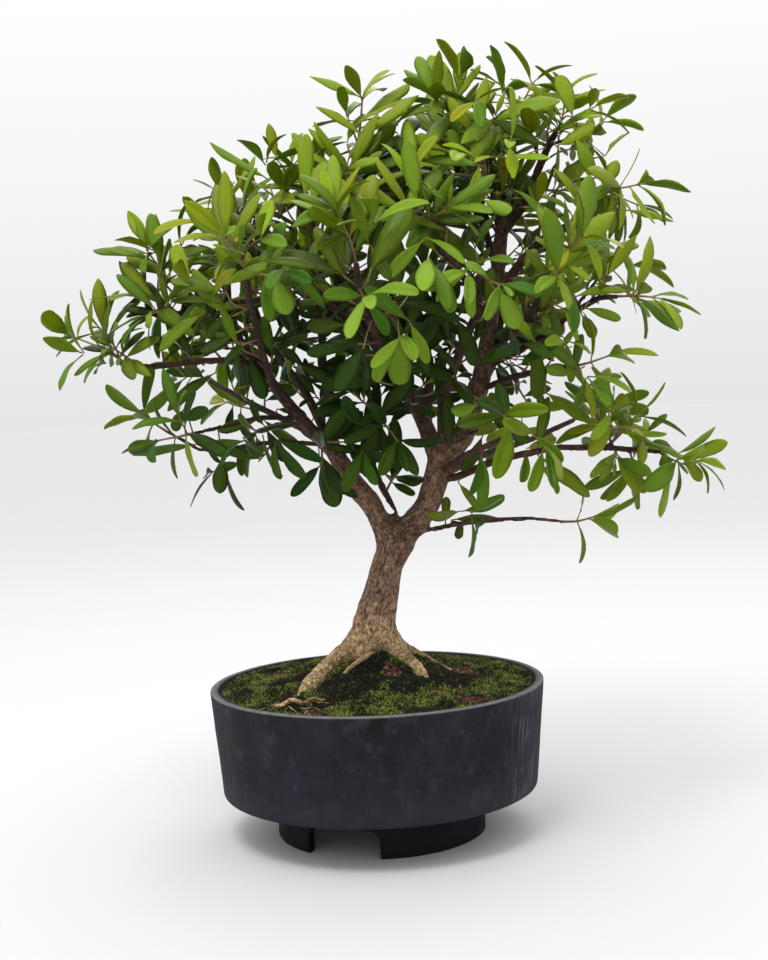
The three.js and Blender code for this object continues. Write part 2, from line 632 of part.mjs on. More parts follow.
function drawSpray(stem) {
  const draft = new Draft();
  const first = draft.add(squareRing(stem.frames[0]));
  draft.cap(first.toReversed());
  drawStem(draft, stem, first);
  return draft.geometry();
}

// a stem without its leaves, as a solid of its own
function stemSolid(stem) {
  const draft = new Draft();
  const rings = stem.frames.map((frame) => draft.add(squareRing(frame)));
  draft.cap(rings[0].toReversed());
  for (let i = 1; i < rings.length; i += 1) draft.band(rings[i - 1], rings[i]);
  draft.cap(rings[rings.length - 1]);
  return solidOf(draft.geometry());
}

// ---------- the tree ----------

// a solid with its box, for quick tests of what is near it
function boxed(solid) {
  const { min, max } = solid.boundingBox();
  return { solid, box: new THREE.Box3(vector(min), vector(max)) };
}

function isClear({ solid, box }, neighbours) {
  return neighbours.every((other) => !box.intersectsBox(other.box) || solid.intersect(other.solid).isEmpty());
}

const random = seededRandom(SEED);

const sprays = Object.entries(SPRAYS).map(([name, [foot, ...tips]]) => {
  const isOnLimb = typeof foot === "string";
  const twig = isOnLimb ? null : twigTo(vector(foot));
  const carrier = isOnLimb ? limbCurves[foot] : twig;
  const direction = carrier.getTangent(1);
  const start = carrier.getPoint(1).addScaledVector(direction, GAP);
  const [first, ...others] = tips.map(vector);
  const stem = newStem(bentCurve(start, direction, first), others, random);
  const stems = [stem, ...stem.forks.map((fork) => fork.stem)];
  const leaves = stems.flatMap((one) => one.leaves);
  return { name, twig, stem, leaves, pieces: stems.map(stemSolid).map(boxed) };
});

const woodTubes = [
  routeTube(TRUNK, TRUNK_SIDES),
  ...ROOTS.map((root) => routeTube(root, ROOT_SIDES)),
  ...Object.entries(LIMBS).map(limbTube),
  ...sprays.filter(({ twig }) => twig).map(({ twig }) => twigTube(twig)),
];

// Each spray takes its leaves in turn, so that none grows dense before its neighbours. A leaf that
// would cross something is bent clear, and one that can't be is left out.
const woodPieces = woodTubes.map(boxed);
const mostLeaves = Math.max(...sprays.map(({ leaves }) => leaves.length));
for (let i = 0; i < mostLeaves; i += 1) {
  for (const spray of sprays.filter(({ leaves }) => i < leaves.length)) {
    const slot = spray.leaves[i];
    const others = sprays.filter((other) => other !== spray).flatMap(({ pieces }) => pieces);
    const isFree = (pose) =>
      isClear(boxed(bladeSolid(pose, FREE_PLACE, LEAF_CLEARANCE)), spray.pieces) &&
      isClear(boxed(bladeSolid(pose, ROOT_PLACE, LEAF_CLEARANCE)), [...woodPieces, ...others]);
    slot.pose = TURNS.map((turn) => posed(slot.leaf, turn)).find(isFree);
    if (slot.pose) spray.pieces.push(boxed(bladeSolid(slot.pose, ROOT_PLACE)));
  }
}

// ---------- the model ----------

const bonsai = new THREE.Group();

function addMesh(name, geometry, color, roughness) {
  const material = new THREE.MeshStandardMaterial({ color, roughness, metalness: 0 });
  const mesh = new THREE.Mesh(geometry, material);
  mesh.name = name;
  bonsai.add(mesh);
}

addMesh("pot", geometryOf(pot()), 0x3a3b44, 0.75);
addMesh("soil", geometryOf(soil()), 0x3c4a1e, 1);
addMesh("loose_root", geometryOf(looseRoot()), 0xa58a63, 0.9);
addMesh("wood", geometryOf(join(woodTubes)).translate(0, 0, POT_HEIGHT), 0x6d5646, 0.9);
for (const { name, stem } of sprays) {
  addMesh(`spray_${name}`, drawSpray(stem).translate(0, 0, POT_HEIGHT), 0x6f9a2e, 0.5);
}

// the whole stands centred over the origin
const middle = new THREE.Box3().setFromObject(bonsai).getCenter(new THREE.Vector3());
bonsai.position.set(-middle.x, -middle.y, 0);
bonsai.updateMatrixWorld(true);

export default bonsai;
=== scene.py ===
"""Looks of a pomegranate bonsai in a round drum pot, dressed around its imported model."""

import heapq
import json
import math

import bmesh
import bpy
import numpy as np
from mathutils import Matrix, Vector, noise
from mathutils.bvhtree import BVHTree

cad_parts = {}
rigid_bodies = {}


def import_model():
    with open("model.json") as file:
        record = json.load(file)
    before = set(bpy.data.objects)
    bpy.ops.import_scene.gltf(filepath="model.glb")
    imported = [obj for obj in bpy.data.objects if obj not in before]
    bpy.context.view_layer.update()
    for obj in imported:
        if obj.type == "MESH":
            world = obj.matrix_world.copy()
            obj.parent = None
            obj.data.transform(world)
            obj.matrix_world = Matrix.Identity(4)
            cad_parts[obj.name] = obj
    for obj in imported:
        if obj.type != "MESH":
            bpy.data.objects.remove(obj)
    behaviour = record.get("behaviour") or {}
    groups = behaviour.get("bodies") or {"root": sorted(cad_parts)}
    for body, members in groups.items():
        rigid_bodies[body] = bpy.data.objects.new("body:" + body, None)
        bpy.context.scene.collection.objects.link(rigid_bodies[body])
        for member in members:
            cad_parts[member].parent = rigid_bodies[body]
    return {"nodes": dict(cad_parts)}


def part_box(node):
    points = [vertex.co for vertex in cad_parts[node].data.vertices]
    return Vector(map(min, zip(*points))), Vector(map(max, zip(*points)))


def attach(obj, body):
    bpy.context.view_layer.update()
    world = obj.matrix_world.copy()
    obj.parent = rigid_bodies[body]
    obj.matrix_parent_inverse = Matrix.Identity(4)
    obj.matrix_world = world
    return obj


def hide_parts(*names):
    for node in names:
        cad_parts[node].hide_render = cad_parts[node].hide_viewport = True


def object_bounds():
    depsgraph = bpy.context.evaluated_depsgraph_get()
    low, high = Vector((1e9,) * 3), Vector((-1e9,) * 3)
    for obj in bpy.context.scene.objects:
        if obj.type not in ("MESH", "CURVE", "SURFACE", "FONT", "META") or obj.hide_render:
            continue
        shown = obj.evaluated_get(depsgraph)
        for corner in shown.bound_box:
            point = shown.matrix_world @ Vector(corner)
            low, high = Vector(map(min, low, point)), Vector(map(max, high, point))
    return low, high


MM = 0.001
UP = np.array([0.0, 0.0, 1.0])
TURN = 2 * math.pi

# seeds of the random draws
CUSHION_SEED = 71
MOSS_SEED = 5
GRIT_SEED = 9
GROWTH_SEED = 17  # of the shoots and the spurs
LIGHT_SEED = 29
SPRAY_SEEDS = 300  # of the first spray; each further one has the next
BLADE_SEEDS = 900  # of the first piece of foliage, likewise

# ---------- camera and stage ----------

PHOTO_HEIGHT = 960  # pixels
FOCAL_PIXELS = 1400
SENSOR = 36.0  # mm, on the photo's long side
CAMERA_FROM_RIM = Vector((0, -878, 174)) * MM  # from the middle of the pot's rim
CAMERA_PITCH = 0.054  # radians down
CAMERA_YAW = 0.011
CAMERA_ROLL = 0.041
FLOOR_SIZE = 60
FLOOR_SHADE = 0.62
HORIZON_LIGHT = 0.8
# the light overhead that makes the floor as bright as the horizon
OVERHEAD_LIGHT = HORIZON_LIGHT * (1 + 1.5 * (1 / FLOOR_SHADE - 1))
# name, place, size in metres and power in watts
LAMPS = [("key", (-0.35, -0.75, 1.5), 0.55, 11), ("back", (0.3, 0.9, 1.4), 0.8, 4)]
LAMP_AIM = Vector((0, 0, 0.22))

# ---------- the pot ----------

RIM_RADIUS = 105 * MM
RIM_HEIGHT = 94 * MM
BODY_BOTTOM_RADIUS = 99 * MM
BODY_BOTTOM = 28 * MM
WALL = 5.5 * MM
FLOOR_TOP = 34 * MM
FLOOR_UNDERSIDE = 29 * MM
FOOT_RADIUS = 66 * MM
FOOT_WALL = 8 * MM
NOTCH_ANGLES = [-112.5, 7.5, 127.5]
NOTCH_WIDTH = 46 * MM
NOTCH_HEIGHT = 17 * MM
NOTCH_CORNER = 7 * MM
DRAIN_RADIUS = 6 * MM
DRAIN_CIRCLE = 34 * MM
DRAIN_FLARE = 1.2 * MM
POT_SEGMENTS = 180
PROFILE_STEP = 3.3 * MM  # longest step along the pot's section
ROUNDING_STEPS = 5
POT_UNEVENNESS = 0.22 * MM
POT_WAVE = 26 * MM  # from swell to swell
RIM_UNEVENNESS = 0.12 * MM
EDGE_ROUNDING = 1.1 * MM
PALE_LIP = (5 * MM, 3.4 * MM)  # how far in from the rim's edge the lip is paler
# chalky runs: degrees round from +x, spread in degrees and strength
CHALKY_PLACES = [(-150, 5, 0.4), (-33, 6, 1.0), (-24, 4, 0.7), (60, 9, 0.7), (140, 6, 0.6)]

# ---------- the soil ----------

SOIL_EDGE = -2.5 * MM  # below the rim
SOIL_RADIUS = 98.8 * MM
SOIL_BOTTOM_RADIUS = 93.6 * MM
SOIL_BOTTOM = 34.3 * MM
MOUND_HEIGHT = 19 * MM
MOUND_SPREAD = 55 * MM
SOIL_CELLS = 170
SOIL_FADE = 9 * MM  # its unevenness fades over this width at the wall
CUSHIONS = 240  # low cushions of moss
CUSHION_SIZES = (3.5, 10)  # mm
MOSS_BLADES = 15000
MOSS_HEIGHTS = (0.5 * MM, 1.5 * MM)
MOSS_HALF_WIDTHS = (0.3 * MM, 0.62 * MM)
GRIT_COUNT = 300
GRIT_SIZE = 1.05 * MM  # largest radius
# the old root's route from the pot's axis, and its share of the full radius
LOOSE_ROOT = [(-63, -66, 0.5), (-56, -69, 0.95), (-47, -65, 1.0), (-39, -67, 0.95), (-31, -63, 0.45)]
LOOSE_ROOT_RADIUS = 1.35 * MM
# routes from the pot's axis and above the soil, in mm
ROOTLETS = [
    [(-45, -71, 0.2), (-41, -74, 0.8), (-36, -73, 0.3), (-33, -76, 0.1)],
    [(-52, -70, 0.4), (-49, -75, 0.5), (-45, -77, 0.2)],
    [(-38, -66, 1.0), (-34, -70, 0.8), (-28, -70, 0.2)],
    [(-62, -66, 0.6), (-67, -69, 0.5), (-70, -74, 0.2)],
]
ROOTLET_RADII = (0.42, 0.14)  # mm

# ---------- the wood ----------

BARK_VOXEL = 1.1 * MM
TWIG_SWELL = 0.65 * MM  # keeps a thin twig wide enough for the voxels
RELAX = 0.6  # share of the way to its neighbours that a point moves in each round
LEAST_ROUNDS = 3
ROUNDS_PER_GIRTH = 0.25  # further rounds, for each square millimetre of local radius
MOST_ROUNDS = 80
# rounds of averaging over each point's neighbours
GIRTH_ROUNDS = 14  # of the local radius
GRAIN_ROUNDS = 10  # of the grain's direction, and of the local radius once more
WALK_ROUNDS = 12  # of the walk from the trunk's foot
THICKNESS_REACH = 0.08  # how deep the wood's opposite side is looked for
USUAL_THICKNESS = 4 * MM  # where none is found
GIRTH_LIMITS = (0.6 * MM, 30 * MM)
ALL_FILL = 0.12 * MM  # what all the wood lacks after the smoothing
TWIG_FILL = 0.1 * MM  # and what a thin twig lacks beyond that

TRUNK_REACH = 24 * MM  # the grain starts within this distance of the trunk's foot
PALE_BARK = (46 * MM, 2 * MM)  # heights over the roots between which the bark turns pale and tan
GRAIN_ACROSS = 3.0 * MM
GRAIN_ALONG = 17 * MM
CRACK_DEPTHS = (0.06 * MM, 0.32 * MM)  # on twigs, and what is added on the trunk
# swellings, and hollows below 0, of the trunk and its roots, in mm from the middle of the rim:
# place, reach and height
TRUNK_FORMS = [
    ((3, -15, 15), (5.5, 9, 11), -5.0), ((-13, -10, 22), (5, 8, 10), 2.2), ((16, -10, 22), (5, 8, 10), 2.2),
    ((3, -14, 34), (3, 8, 8), -1.5), ((-9, -12, 40), (4, 8, 14), 0.8), ((12, -10, 44), (4, 8, 14), 0.7),
    ((-2, 20, 20), (6, 9, 12), -3.0), ((-30, -24, 13), (10, 11, 8), 2.4), ((-42, -38, 7), (10, 11, 7), 2.2),
    ((24, -22, 13), (8, 9, 8), 1.6), ((30, -30, 8), (7, 8, 7), 0.8), ((13, -2, 104), (6.5, 9, 13), -4.2),
    ((-6, -2, 106), (4, 8, 10), -1.2), ((-17, -4, 33), (7, 12, 14), 1.6), ((25, -2, 84), (8, 12, 9), 1.8),
    ((14, -3, 50), (6, 10, 14), 0.9),
]
WRINKLED = ((17, -10, 92), (16, 12, 13))  # place and reach of the wrinkles under the fork
WRINKLE_DEPTH = 0.35 * MM
MOSSY_FLANK = ((-40, -42, 5), (7, 7, 7))  # place and reach of the moss on the left root
# the small root in the hollow, in mm from the middle of the rim
FRONT_ROOT = [(0, -8, 19), (-6, -18, 18.5), (-12, -23, 16), (-17, -27, 13), (-21, -29, 9)]
FRONT_ROOT_RADIUS = (1.8 * MM, 1.1 * MM)

# ---------- leaves ----------

WELD = 1e-6  # packed points this close are one
SECTION_THICKNESS = (0.6 * MM, 0.8 * MM)  # marks a leaf's section in a packed spray
SECTION_WIDTH = 3 * MM  # and is wider than this
LONGEST_RING_EDGE = 2.3 * MM  # round a packed stem
RIB_PLACES = np.array([0.0, 0.4, 0.76, 1.0])  # root, two sections and tip of a packed leaf
SECTION_SHARE = 0.95  # of the full width, at the upper section
PETIOLE_END = 0.05  # where the blade starts, as a share of the leaf's length
LEAF_THICKNESS = 0.15 * MM  # on each side of the blade's middle
STALK_RADIUS = 0.42 * MM
LEAF_LENGTHS = (24, 37)  # mm
LEAF_HALVES = (0.115, 0.16)  # half width as a share of the length
TIP_LENGTHS = (10 * MM, 17 * MM)  # of the young leaves at a stem's end
CROWN_MIDDLE = np.array([0.02, 0.0, 0.29])  # from the pot's axis
CROWN_REACH = np.array([0.19, 0.15, 0.17])
LEAF_CLEARANCE = 2.3 * MM  # of a new leaf from the others
WOOD_CLEARANCE = 1.3 * MM
SKY_RAYS = 7  # from each of three places on a leaf
SKY_REACH = 0.2
SKY_MIDDLE = np.array([-0.1, -0.25, 1.3])  # the rays lean this way
SHADE_MIDDLE = np.array([0.015, -0.05, 0.295])  # of the painted shade on the leaves inside the crown
SHADE_REACH = np.array([0.1, 0.25, 0.06])
LOW_SHADE = (0.29, 0.23)  # heights between which painted shade darkens the leaves on the left
LEFT_SHADE = (0.02, -0.05)  # and places to the left between which they do
RIGHT_LIGHT = (0.08, 0.17)  # places to the right between which painted light makes the leaves lighter
BRIGHT_SHARE = 0.05  # of the leaves painted as lit through from behind, wherever they stand
BACKLIT_TINT = (0.65, 0.8)  # their youth and painted light
SPUR_FLOOR = 0.215  # height of the lowest spurs
SPUR_GIRTH = 3.1 * MM  # local radius of the thickest wood that bears them
SPUR_SPACING = 7 * MM  # least distance between two of them
SPUR_LENGTHS = (4, 22)  # mm
SPUR_LEAVES = (23, 38)  # length in mm
SPUR_PIECES = 4
# of a spray's stem on the wood, and of one that leaves another stem, in mm
STEM_SUNK = (3.0, 0.6)  # how far it starts inside what carries it
STEM_THICK = (0.95, 0.7)  # its radius there
STEM_PAST = 0.8  # how far either goes on past its last node, in mm
STEM_THIN = 0.45 * MM  # radius of either at the tip
SHOOT_RADII = (0.95 * MM, 0.5 * MM)  # at the foot and the tip
SPUR_RADII = (0.8 * MM, 0.5 * MM)
OUTLINE_ROOM = 2 * MM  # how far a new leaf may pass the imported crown's outline
OUTLINE_CONE = 0.985  # cosine of the angle within which that outline is looked up
NODE_SPACING = 5.5 * MM  # along a stem
PAIR_TRIES = 3  # pairs of leaves tried at each node
LIMB_GIRTH = 3 * MM  # local radius from which a limb is kept in view
LIMB_SHOWS = 0.85  # share of the leaves before such limbs that are left out
THIN_CROWN = (0.21, 0.33)  # heights between which the crown fills up
# no further leaf ends nearer and lower than this, in mm from the middle of the rim
FRONT_GAP = (-92, 272)
# boxes without further leaves, as least and most x and height in mm from the middle of the rim
SPARSE_ZONES = [
    (-175, -52, 160, 200), (122, 215, 150, 208), (50, 140, 85, 138), (-75, -18, 90, 150),
    (-200, -150, 185, 210), (157, 215, 290, 335), (178, 215, 212, 300), (132, 172, 165, 228),
    (56, 175, 80, 122), (52, 122, 372, 400), (-43, -8, 340, 390), (-175, -100, 130, 200),
    (66, 118, 118, 172),
]
# leaves that stand out in the photo: root and tip in mm from the middle of the rim, and half width
SINGLE_LEAVES = [
    ((5, -5, 363), (-26, -5, 377), 3.8), ((6, -12, 337), (-23, -12, 357), 3.2),
    ((7, -20, 337), (40, -20, 360), 4.8), ((-48, -20, 326), (-52, -20, 348), 3.2),
    ((-157, -25, 226), (-158, -25, 257), 4.4), ((-166, -25, 209), (-193, -25, 208), 3.4),
    ((-109, -20, 195), (-135, -20, 175), 4.6), ((-89, -35, 197), (-119, -35, 175), 4.4),
    ((-111, -20, 176), (-118, -20, 163), 4.2), ((-105, -15, 154), (-145, -15, 149), 3.6),
    ((-90, -15, 145), (-92, -15, 123), 5.0), ((-30, -12, 139), (-21, -12, 111), 6.4),
    ((181, -25, 138), (183, -25, 127), 4.2), ((193, -20, 134), (205, -20, 119), 4.4),
    ((103, -28, 139), (133, -28, 113), 5.0), ((69, -40, 174), (97, -40, 148), 6.4),
    ((51, -5, 100), (82, -8, 99), 3.4), ((55, -12, 124), (67, -14, 107), 2.8),
    ((57, -5, 99), (54, -7, 88), 2.8), ((47, -5, 101), (48, -8, 115), 3.0),
    ((0, -95, 205), (-16, -98, 183), 6.4), ((170, -20, 231), (195, -22, 223), 4.0),
    ((163, -10, 286), (193, -10, 278), 3.4), ((107, -45, 177), (134, -45, 159), 4.8),
    ((-68, -40, 205), (-60, -40, 180), 5.0), ((129, -60, 222), (137, -60, 208), 4.2),
    ((130, -60, 225), (151, -60, 218), 3.8), ((121, -30, 324), (144, -30, 337), 5.0),
    ((132, -30, 330), (142, -30, 306), 4.6), ((113, -40, 322), (85, -40, 338), 5.2),
    ((33, -100, 280), (28, -96, 316), 5.0), ((-25, -95, 285), (-17, -90, 310), 5.2),
    ((-29, -80, 291), (-27, -74, 329), 4.6), ((-76, -90, 266), (-97, -84, 293), 4.8),
    ((132, -25, 342), (125, -22, 368), 5.4), ((66, -10, 365), (69, -10, 391), 4.8),
    ((72, -30, 332), (80, -26, 366), 4.2), ((71, -35, 331), (57, -38, 354), 4.8),
    ((73, -70, 306), (39, -74, 310), 4.0), ((25, -100, 281), (2, -104, 293), 4.6),
    ((33, -102, 280), (47, -98, 303), 5.0), ((-53, -95, 269), (-80, -98, 286), 4.6),
    ((-76, -60, 269), (-83, -56, 293), 4.0), ((-41, -100, 255), (-75, -104, 243), 4.2),
    ((-122, -40, 241), (-142, -36, 265), 4.0), ((-119, -35, 264), (-124, -30, 294), 4.6),
    ((-121, -50, 235), (-142, -54, 256), 4.0), ((145, -40, 296), (156, -38, 313), 4.4),
]
# round, bright leaves that hang at the crown's front, in the same terms
BRIGHT_LEAVES = [
    ((76, -112, 233), (85, -114, 212), 6.2), ((-45, -112, 244), (-40, -114, 224), 6.0),
    ((66, -50, 171), (50, -54, 169), 5.6), ((20, -112, 208), (19, -116, 184), 6.4),
    ((126, -50, 188), (107, -54, 190), 4.6), ((71, -80, 287), (87, -84, 280), 5.4),
]
SINGLE_BENDS = (0.2, 0.7, 0.45)  # radians that such leaves curve, in turn
BRIGHT_TINT = (0.42, 1.3)  # youth and painted light of the round leaves; light above 1 paints a glow
TWIGLET_RADII = (0.55 * MM, 0.42 * MM)  # of the stalk that carries such a leaf
SINGLE_SHIFTS = (0, -8, 8, -16, 16)  # mm nearer or farther, where such a leaf finds its place taken
FRONTWARD = np.array([0, -0.8, 0.6])  # where their faces look
# tips of further shoots, in mm from the middle of the rim, where the crown is full in the photo
EXTRA_TIPS = [
    (-5, -22, 316), (17, 0, 325), (37, -32, 312), (27, 10, 334), (46, 22, 340), (-9, 34, 316),
    (20, -52, 290), (18, 44, 318), (42, 54, 320), (8, -2, 300), (32, 4, 304), (60, 40, 322),
    (-174, -28, 222), (-142, -40, 208), (-127, -32, 272), (-118, -42, 254), (-30, 20, 312),
    (-54, 6, 314), (126, -12, 340), (84, -30, 342), (104, -22, 334), (136, 8, 304), (-13, -24, 152),
    (18, 4, 130), (-9, -22, 184), (192, -28, 130), (62, -4, 356),
    (140, -26, 168), (158, -30, 156), (150, -32, 136), (168, -28, 148),
]


# ================= small helpers =================


def smoothstep(low, high, value):
    t = np.clip((value - low) / (high - low), 0, 1)
    return t * t * (3 - 2 * t)


def unit(vectors):
    length = np.linalg.norm(vectors, axis=-1, keepdims=True)
    return vectors / np.maximum(length, 1e-12)


def turned(vector, axis, angle):
    """vector turned about a unit axis by an angle in radians."""
    along = axis * np.dot(axis, vector)
    return along + (vector - along) * math.cos(angle) + np.cross(axis, vector) * math.sin(angle)


def new_object(name, points, faces, materials=(), smooth=True):
    mesh = bpy.data.meshes.new(name)
    mesh.from_pydata([tuple(p) for p in points], [], [tuple(f) for f in faces])
    mesh.validate()
    mesh.polygons.foreach_set("use_smooth", [smooth] * len(mesh.polygons))
    piece = bpy.data.objects.new(name, mesh)
    bpy.context.scene.collection.objects.link(piece)
    for material in materials:
        mesh.materials.append(material)
    return piece


def numbers_of(items, name, width, kind=float):
    """One property of all the vertices, edges or corners of a mesh, in rows of width."""
    flat = np.empty(len(items) * width, kind)
    items.foreach_get(name, flat)
    return flat.reshape(-1, width)


def points_of(mesh):
    return numbers_of(mesh.vertices, "co", 3)


def write_points(mesh, points):
    mesh.vertices.foreach_set("co", np.asarray(points, np.float32).ravel())
    mesh.update()


def apply_modifiers(piece):
    """Turns what a piece's modifiers make of it into its own mesh."""
    graph = bpy.context.evaluated_depsgraph_get()
    mesh = bpy.data.meshes.new_from_object(piece.evaluated_get(graph))
    old = piece.data
    piece.modifiers.clear()
    piece.data = mesh
    bpy.data.meshes.remove(old)
    mesh.polygons.foreach_set("use_smooth", [True] * len(mesh.polygons))
    return mesh


def set_attribute(mesh, name, values):
    """A number or a vector for each point of a mesh."""
    values = np.asarray(values, np.float32)
    if values.ndim == 1:
        mesh.attributes.new(name, "FLOAT", "POINT").data.foreach_set("value", values)
    else:
        mesh.attributes.new(name, "FLOAT_VECTOR", "POINT").data.foreach_set("vector", values.ravel())


def finished(piece, slot, *nodes):
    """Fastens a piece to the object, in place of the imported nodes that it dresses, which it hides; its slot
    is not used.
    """
    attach(piece, "root")
    if nodes:
        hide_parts(*nodes)
    return piece


def loft_faces(rings, size, start=0, caps=True):
    """Faces between rings of points that follow one another, with or without end caps."""
    faces = []
    for i in range(rings - 1):
        low = start + i * size
        for k in range(size):
            n = (k + 1) % size
            faces.append((low + k, low + n, low + size + n, low + size + k))
    if caps:
        faces.append(tuple(start + k for k in reversed(range(size))))
        faces.append(tuple(start + (rings - 1) * size + k for k in range(size)))
    return faces


def smooth_path(points, steps):
    """Points on a smooth curve through the given ones."""
    points = np.asarray(points, float)
    padded = np.vstack([2 * points[0] - points[1], points, 2 * points[-1] - points[-2]])
    result = []
    for i in range(len(points) - 1):
        a, b, c, d = padded[i : i + 4]
        for t in np.arange(steps) / steps:
            bend = (2 * a - 5 * b + 4 * c - d) * t * t + (3 * b - a - 3 * c + d) * t**3
            result.append(0.5 * (2 * b + (c - a) * t + bend))
    return np.array([*result, points[-1]])


def across_of(axis):
    """A direction square to a unit axis."""
    return unit(np.cross(axis, UP if abs(axis[2]) < 0.9 else np.array([1.0, 0, 0])))


def tube(path, radii, sides):
    """Points of the rings of a tube along a path."""
    tangents = unit(np.gradient(path, axis=0))
    side = across_of(tangents[0])
    angles = np.arange(sides) * TURN / sides
    rings = []
    for point, tangent, radius in zip(path, tangents, radii):
        side = unit(side - tangent * np.dot(side, tangent))
        other = np.cross(tangent, side)
        rings.append(point + radius * (np.outer(np.cos(angles), side) + np.outer(np.sin(angles), other)))
    return np.vstack(rings)


class Shader:
    """A material in the making: each call adds a node and gives its output."""

    def __init__(self, name, **settings):
        self.material = bpy.data.materials.new(name)
        self.material.use_nodes = True
        self.tree = self.material.node_tree
        self.surface = self.tree.nodes["Principled BSDF"]
        for socket, value in settings.items():
            self.set(socket.replace("_", " "), value)

    def plug(self, socket, value):
        if isinstance(value, bpy.types.NodeSocket):
            self.tree.links.new(value, socket)
        else:
            socket.default_value = value

    def set(self, socket, value):
        self.plug(self.surface.inputs[socket], value)

    def node(self, kind, **settings):
        node = self.tree.nodes.new(kind)
        for name, value in settings.items():
            setattr(node, name, value)
        return node

    def wired(self, kind, inputs, **settings):
        """The outputs of a new node whose inputs are given by name or number."""
        node = self.node(kind, **settings)
        for socket, value in inputs.items():
            self.plug(node.inputs[socket], value)
        return node.outputs

    def attribute(self, name, output="Fac"):
        return self.node("ShaderNodeAttribute", attribute_name=name).outputs[output]

    def split(self, vector):
        return self.wired("ShaderNodeSeparateXYZ", {0: vector})

    def position(self):
        return self.node("ShaderNodeTexCoord").outputs["Object"]

    def scaled(self, vector, scale):
        return self.wired("ShaderNodeVectorMath", {0: vector, 1: scale}, operation="MULTIPLY")[0]

    def noise(self, vector, scale, detail=4.0, roughness=0.55, distortion=0.0):
        inputs = {"Vector": vector, "Scale": scale, "Detail": detail}
        inputs |= {"Roughness": roughness, "Distortion": distortion}
        return self.wired("ShaderNodeTexNoise", inputs)["Fac"]

    def cells(self, vector, scale, feature="F1"):
        inputs = {"Vector": vector, "Scale": scale}
        return self.wired("ShaderNodeTexVoronoi", inputs, feature=feature)["Distance"]

    def math(self, operation, *values):
        return self.wired("ShaderNodeMath", dict(enumerate(values)), operation=operation)[0]

    def between(self, value, low, high, start=0.0, end=1.0):
        """value carried smoothly from low..high to start..end."""
        inputs = dict(enumerate((value, low, high, start, end)))
        return self.wired("ShaderNodeMapRange", inputs, interpolation_type="SMOOTHSTEP")["Result"]

    def mix(self, share, a, b):
        """One colour turning into another; a tuple is a colour as seen on a screen, 0 to 255."""
        a, b = (colour(*shade) if isinstance(shade, tuple) else shade for shade in (a, b))
        return self.wired("ShaderNodeMix", {"Factor": share, 6: a, 7: b}, data_type="RGBA")[2]

    def over(self, under, value, span, shade):
        """A colour laid over another where value rises through a span, as for between."""
        return self.mix(self.between(value, *span), under, shade)

    def bump(self, height, strength, distance, under=None):
        inputs = {"Strength": strength, "Distance": distance, "Height": height}
        if under is not None:
            inputs["Normal"] = under
        return self.wired("ShaderNodeBump", inputs)[0]


def colour(red, green, blue):
    """A colour from its values as seen on a screen, 0 to 255."""
    linear = [((c / 255 + 0.055) / 1.055) ** 2.4 if c > 10 else c / 255 / 12.92 for c in (red, green, blue)]
    return (*linear, 1.0)


# ================= materials =================


def leaf_material():
    """A glossy blade, deep green to yellow green, with veins and pale edge; painted shade darkens the leaves
    that get little light and a painted glow lights the round ones.
    """
    s = Shader("leaf", Specular_IOR_Level=0.1)
    across, along, top = s.split(s.attribute("blade", "Vector"))
    youth_and_light, light, own = s.split(s.attribute("tint", "Vector"))
    width = s.math("ABSOLUTE", across)
    mottle = s.noise(s.position(), 160, 3)
    deep = s.mix(mottle, (22, 46, 4), (48, 82, 10))
    fresh = s.mix(mottle, (98, 130, 3), (134, 160, 8))
    # deep to fresh green: partly the leaf's youth, partly painted light on the well-lit leaves
    face = s.mix(s.between(youth_and_light, 0.1, 0.95), deep, fresh)
    golden = s.math("MULTIPLY", s.between(own, 0.45, 1.0, 0.0, 0.8), s.between(youth_and_light, 0.2, 0.8))
    face = s.mix(golden, face, (132, 130, 4))
    face = s.over(face, own, (0.42, 0.0, 0.0, 0.7), (38, 92, 20))
    veins = s.math("SINE", s.math("MULTIPLY_ADD", along, 95.0, s.math("MULTIPLY", width, -16.0)))
    veins = s.math("MULTIPLY", s.between(veins, 0.75, 1.0), s.between(width, 0.95, 0.3))
    face = s.mix(s.math("MULTIPLY", veins, 0.16), face, (150, 172, 50))
    rib = s.math("MULTIPLY", s.between(width, 0.08, 0.03), s.between(along, 1.0, 0.6))
    face = s.mix(s.math("MULTIPLY", rib, s.between(own, 0.2, 0.9, 0.08, 0.32)), face, (160, 172, 60))
    # a pale edge, stronger on the brighter leaves: partly the margin's own colour, partly painted light
    # shining through it
    edge = s.between(width, 0.78, 1.0)
    face = s.mix(s.math("MULTIPLY", edge, s.between(youth_and_light, 0.0, 1.0, 0.12, 0.45)), face, (172, 180, 70))
    underside = s.mix(0.4, face, (98, 118, 36))
    face = s.mix(top, underside, face)
    stalk = s.between(along, 0.12, 0.04)
    face = s.mix(s.math("MULTIPLY", stalk, 0.7), face, (122, 84, 44))
    # painted shade: dark green laid over the leaves that get little light
    face = s.over(face, light, (0.55, 0.02, 0.0, 0.75), (14, 36, 5))
    # painted glow where light is above 1, on the round leaves, as if lit through
    painted_glow = s.math("MULTIPLY", s.between(light, 1.0, 1.3), s.between(own, 0.15, 0.95, 0.0, 0.42))
    face = s.mix(painted_glow, face, (146, 190, 60))
    s.set("Base Color", face)
    s.set("Roughness", s.between(s.noise(s.position(), 300, 2), 0.3, 0.7, 0.3, 0.46))
    relief = s.math("ADD", s.math("MULTIPLY", rib, -1.0), s.math("MULTIPLY", veins, -0.35))
    fine = s.bump(s.noise(s.position(), 1400, 2), 0.12, 0.0002)
    s.set("Normal", s.bump(relief, 0.35, 0.0003, fine))
    return s.material


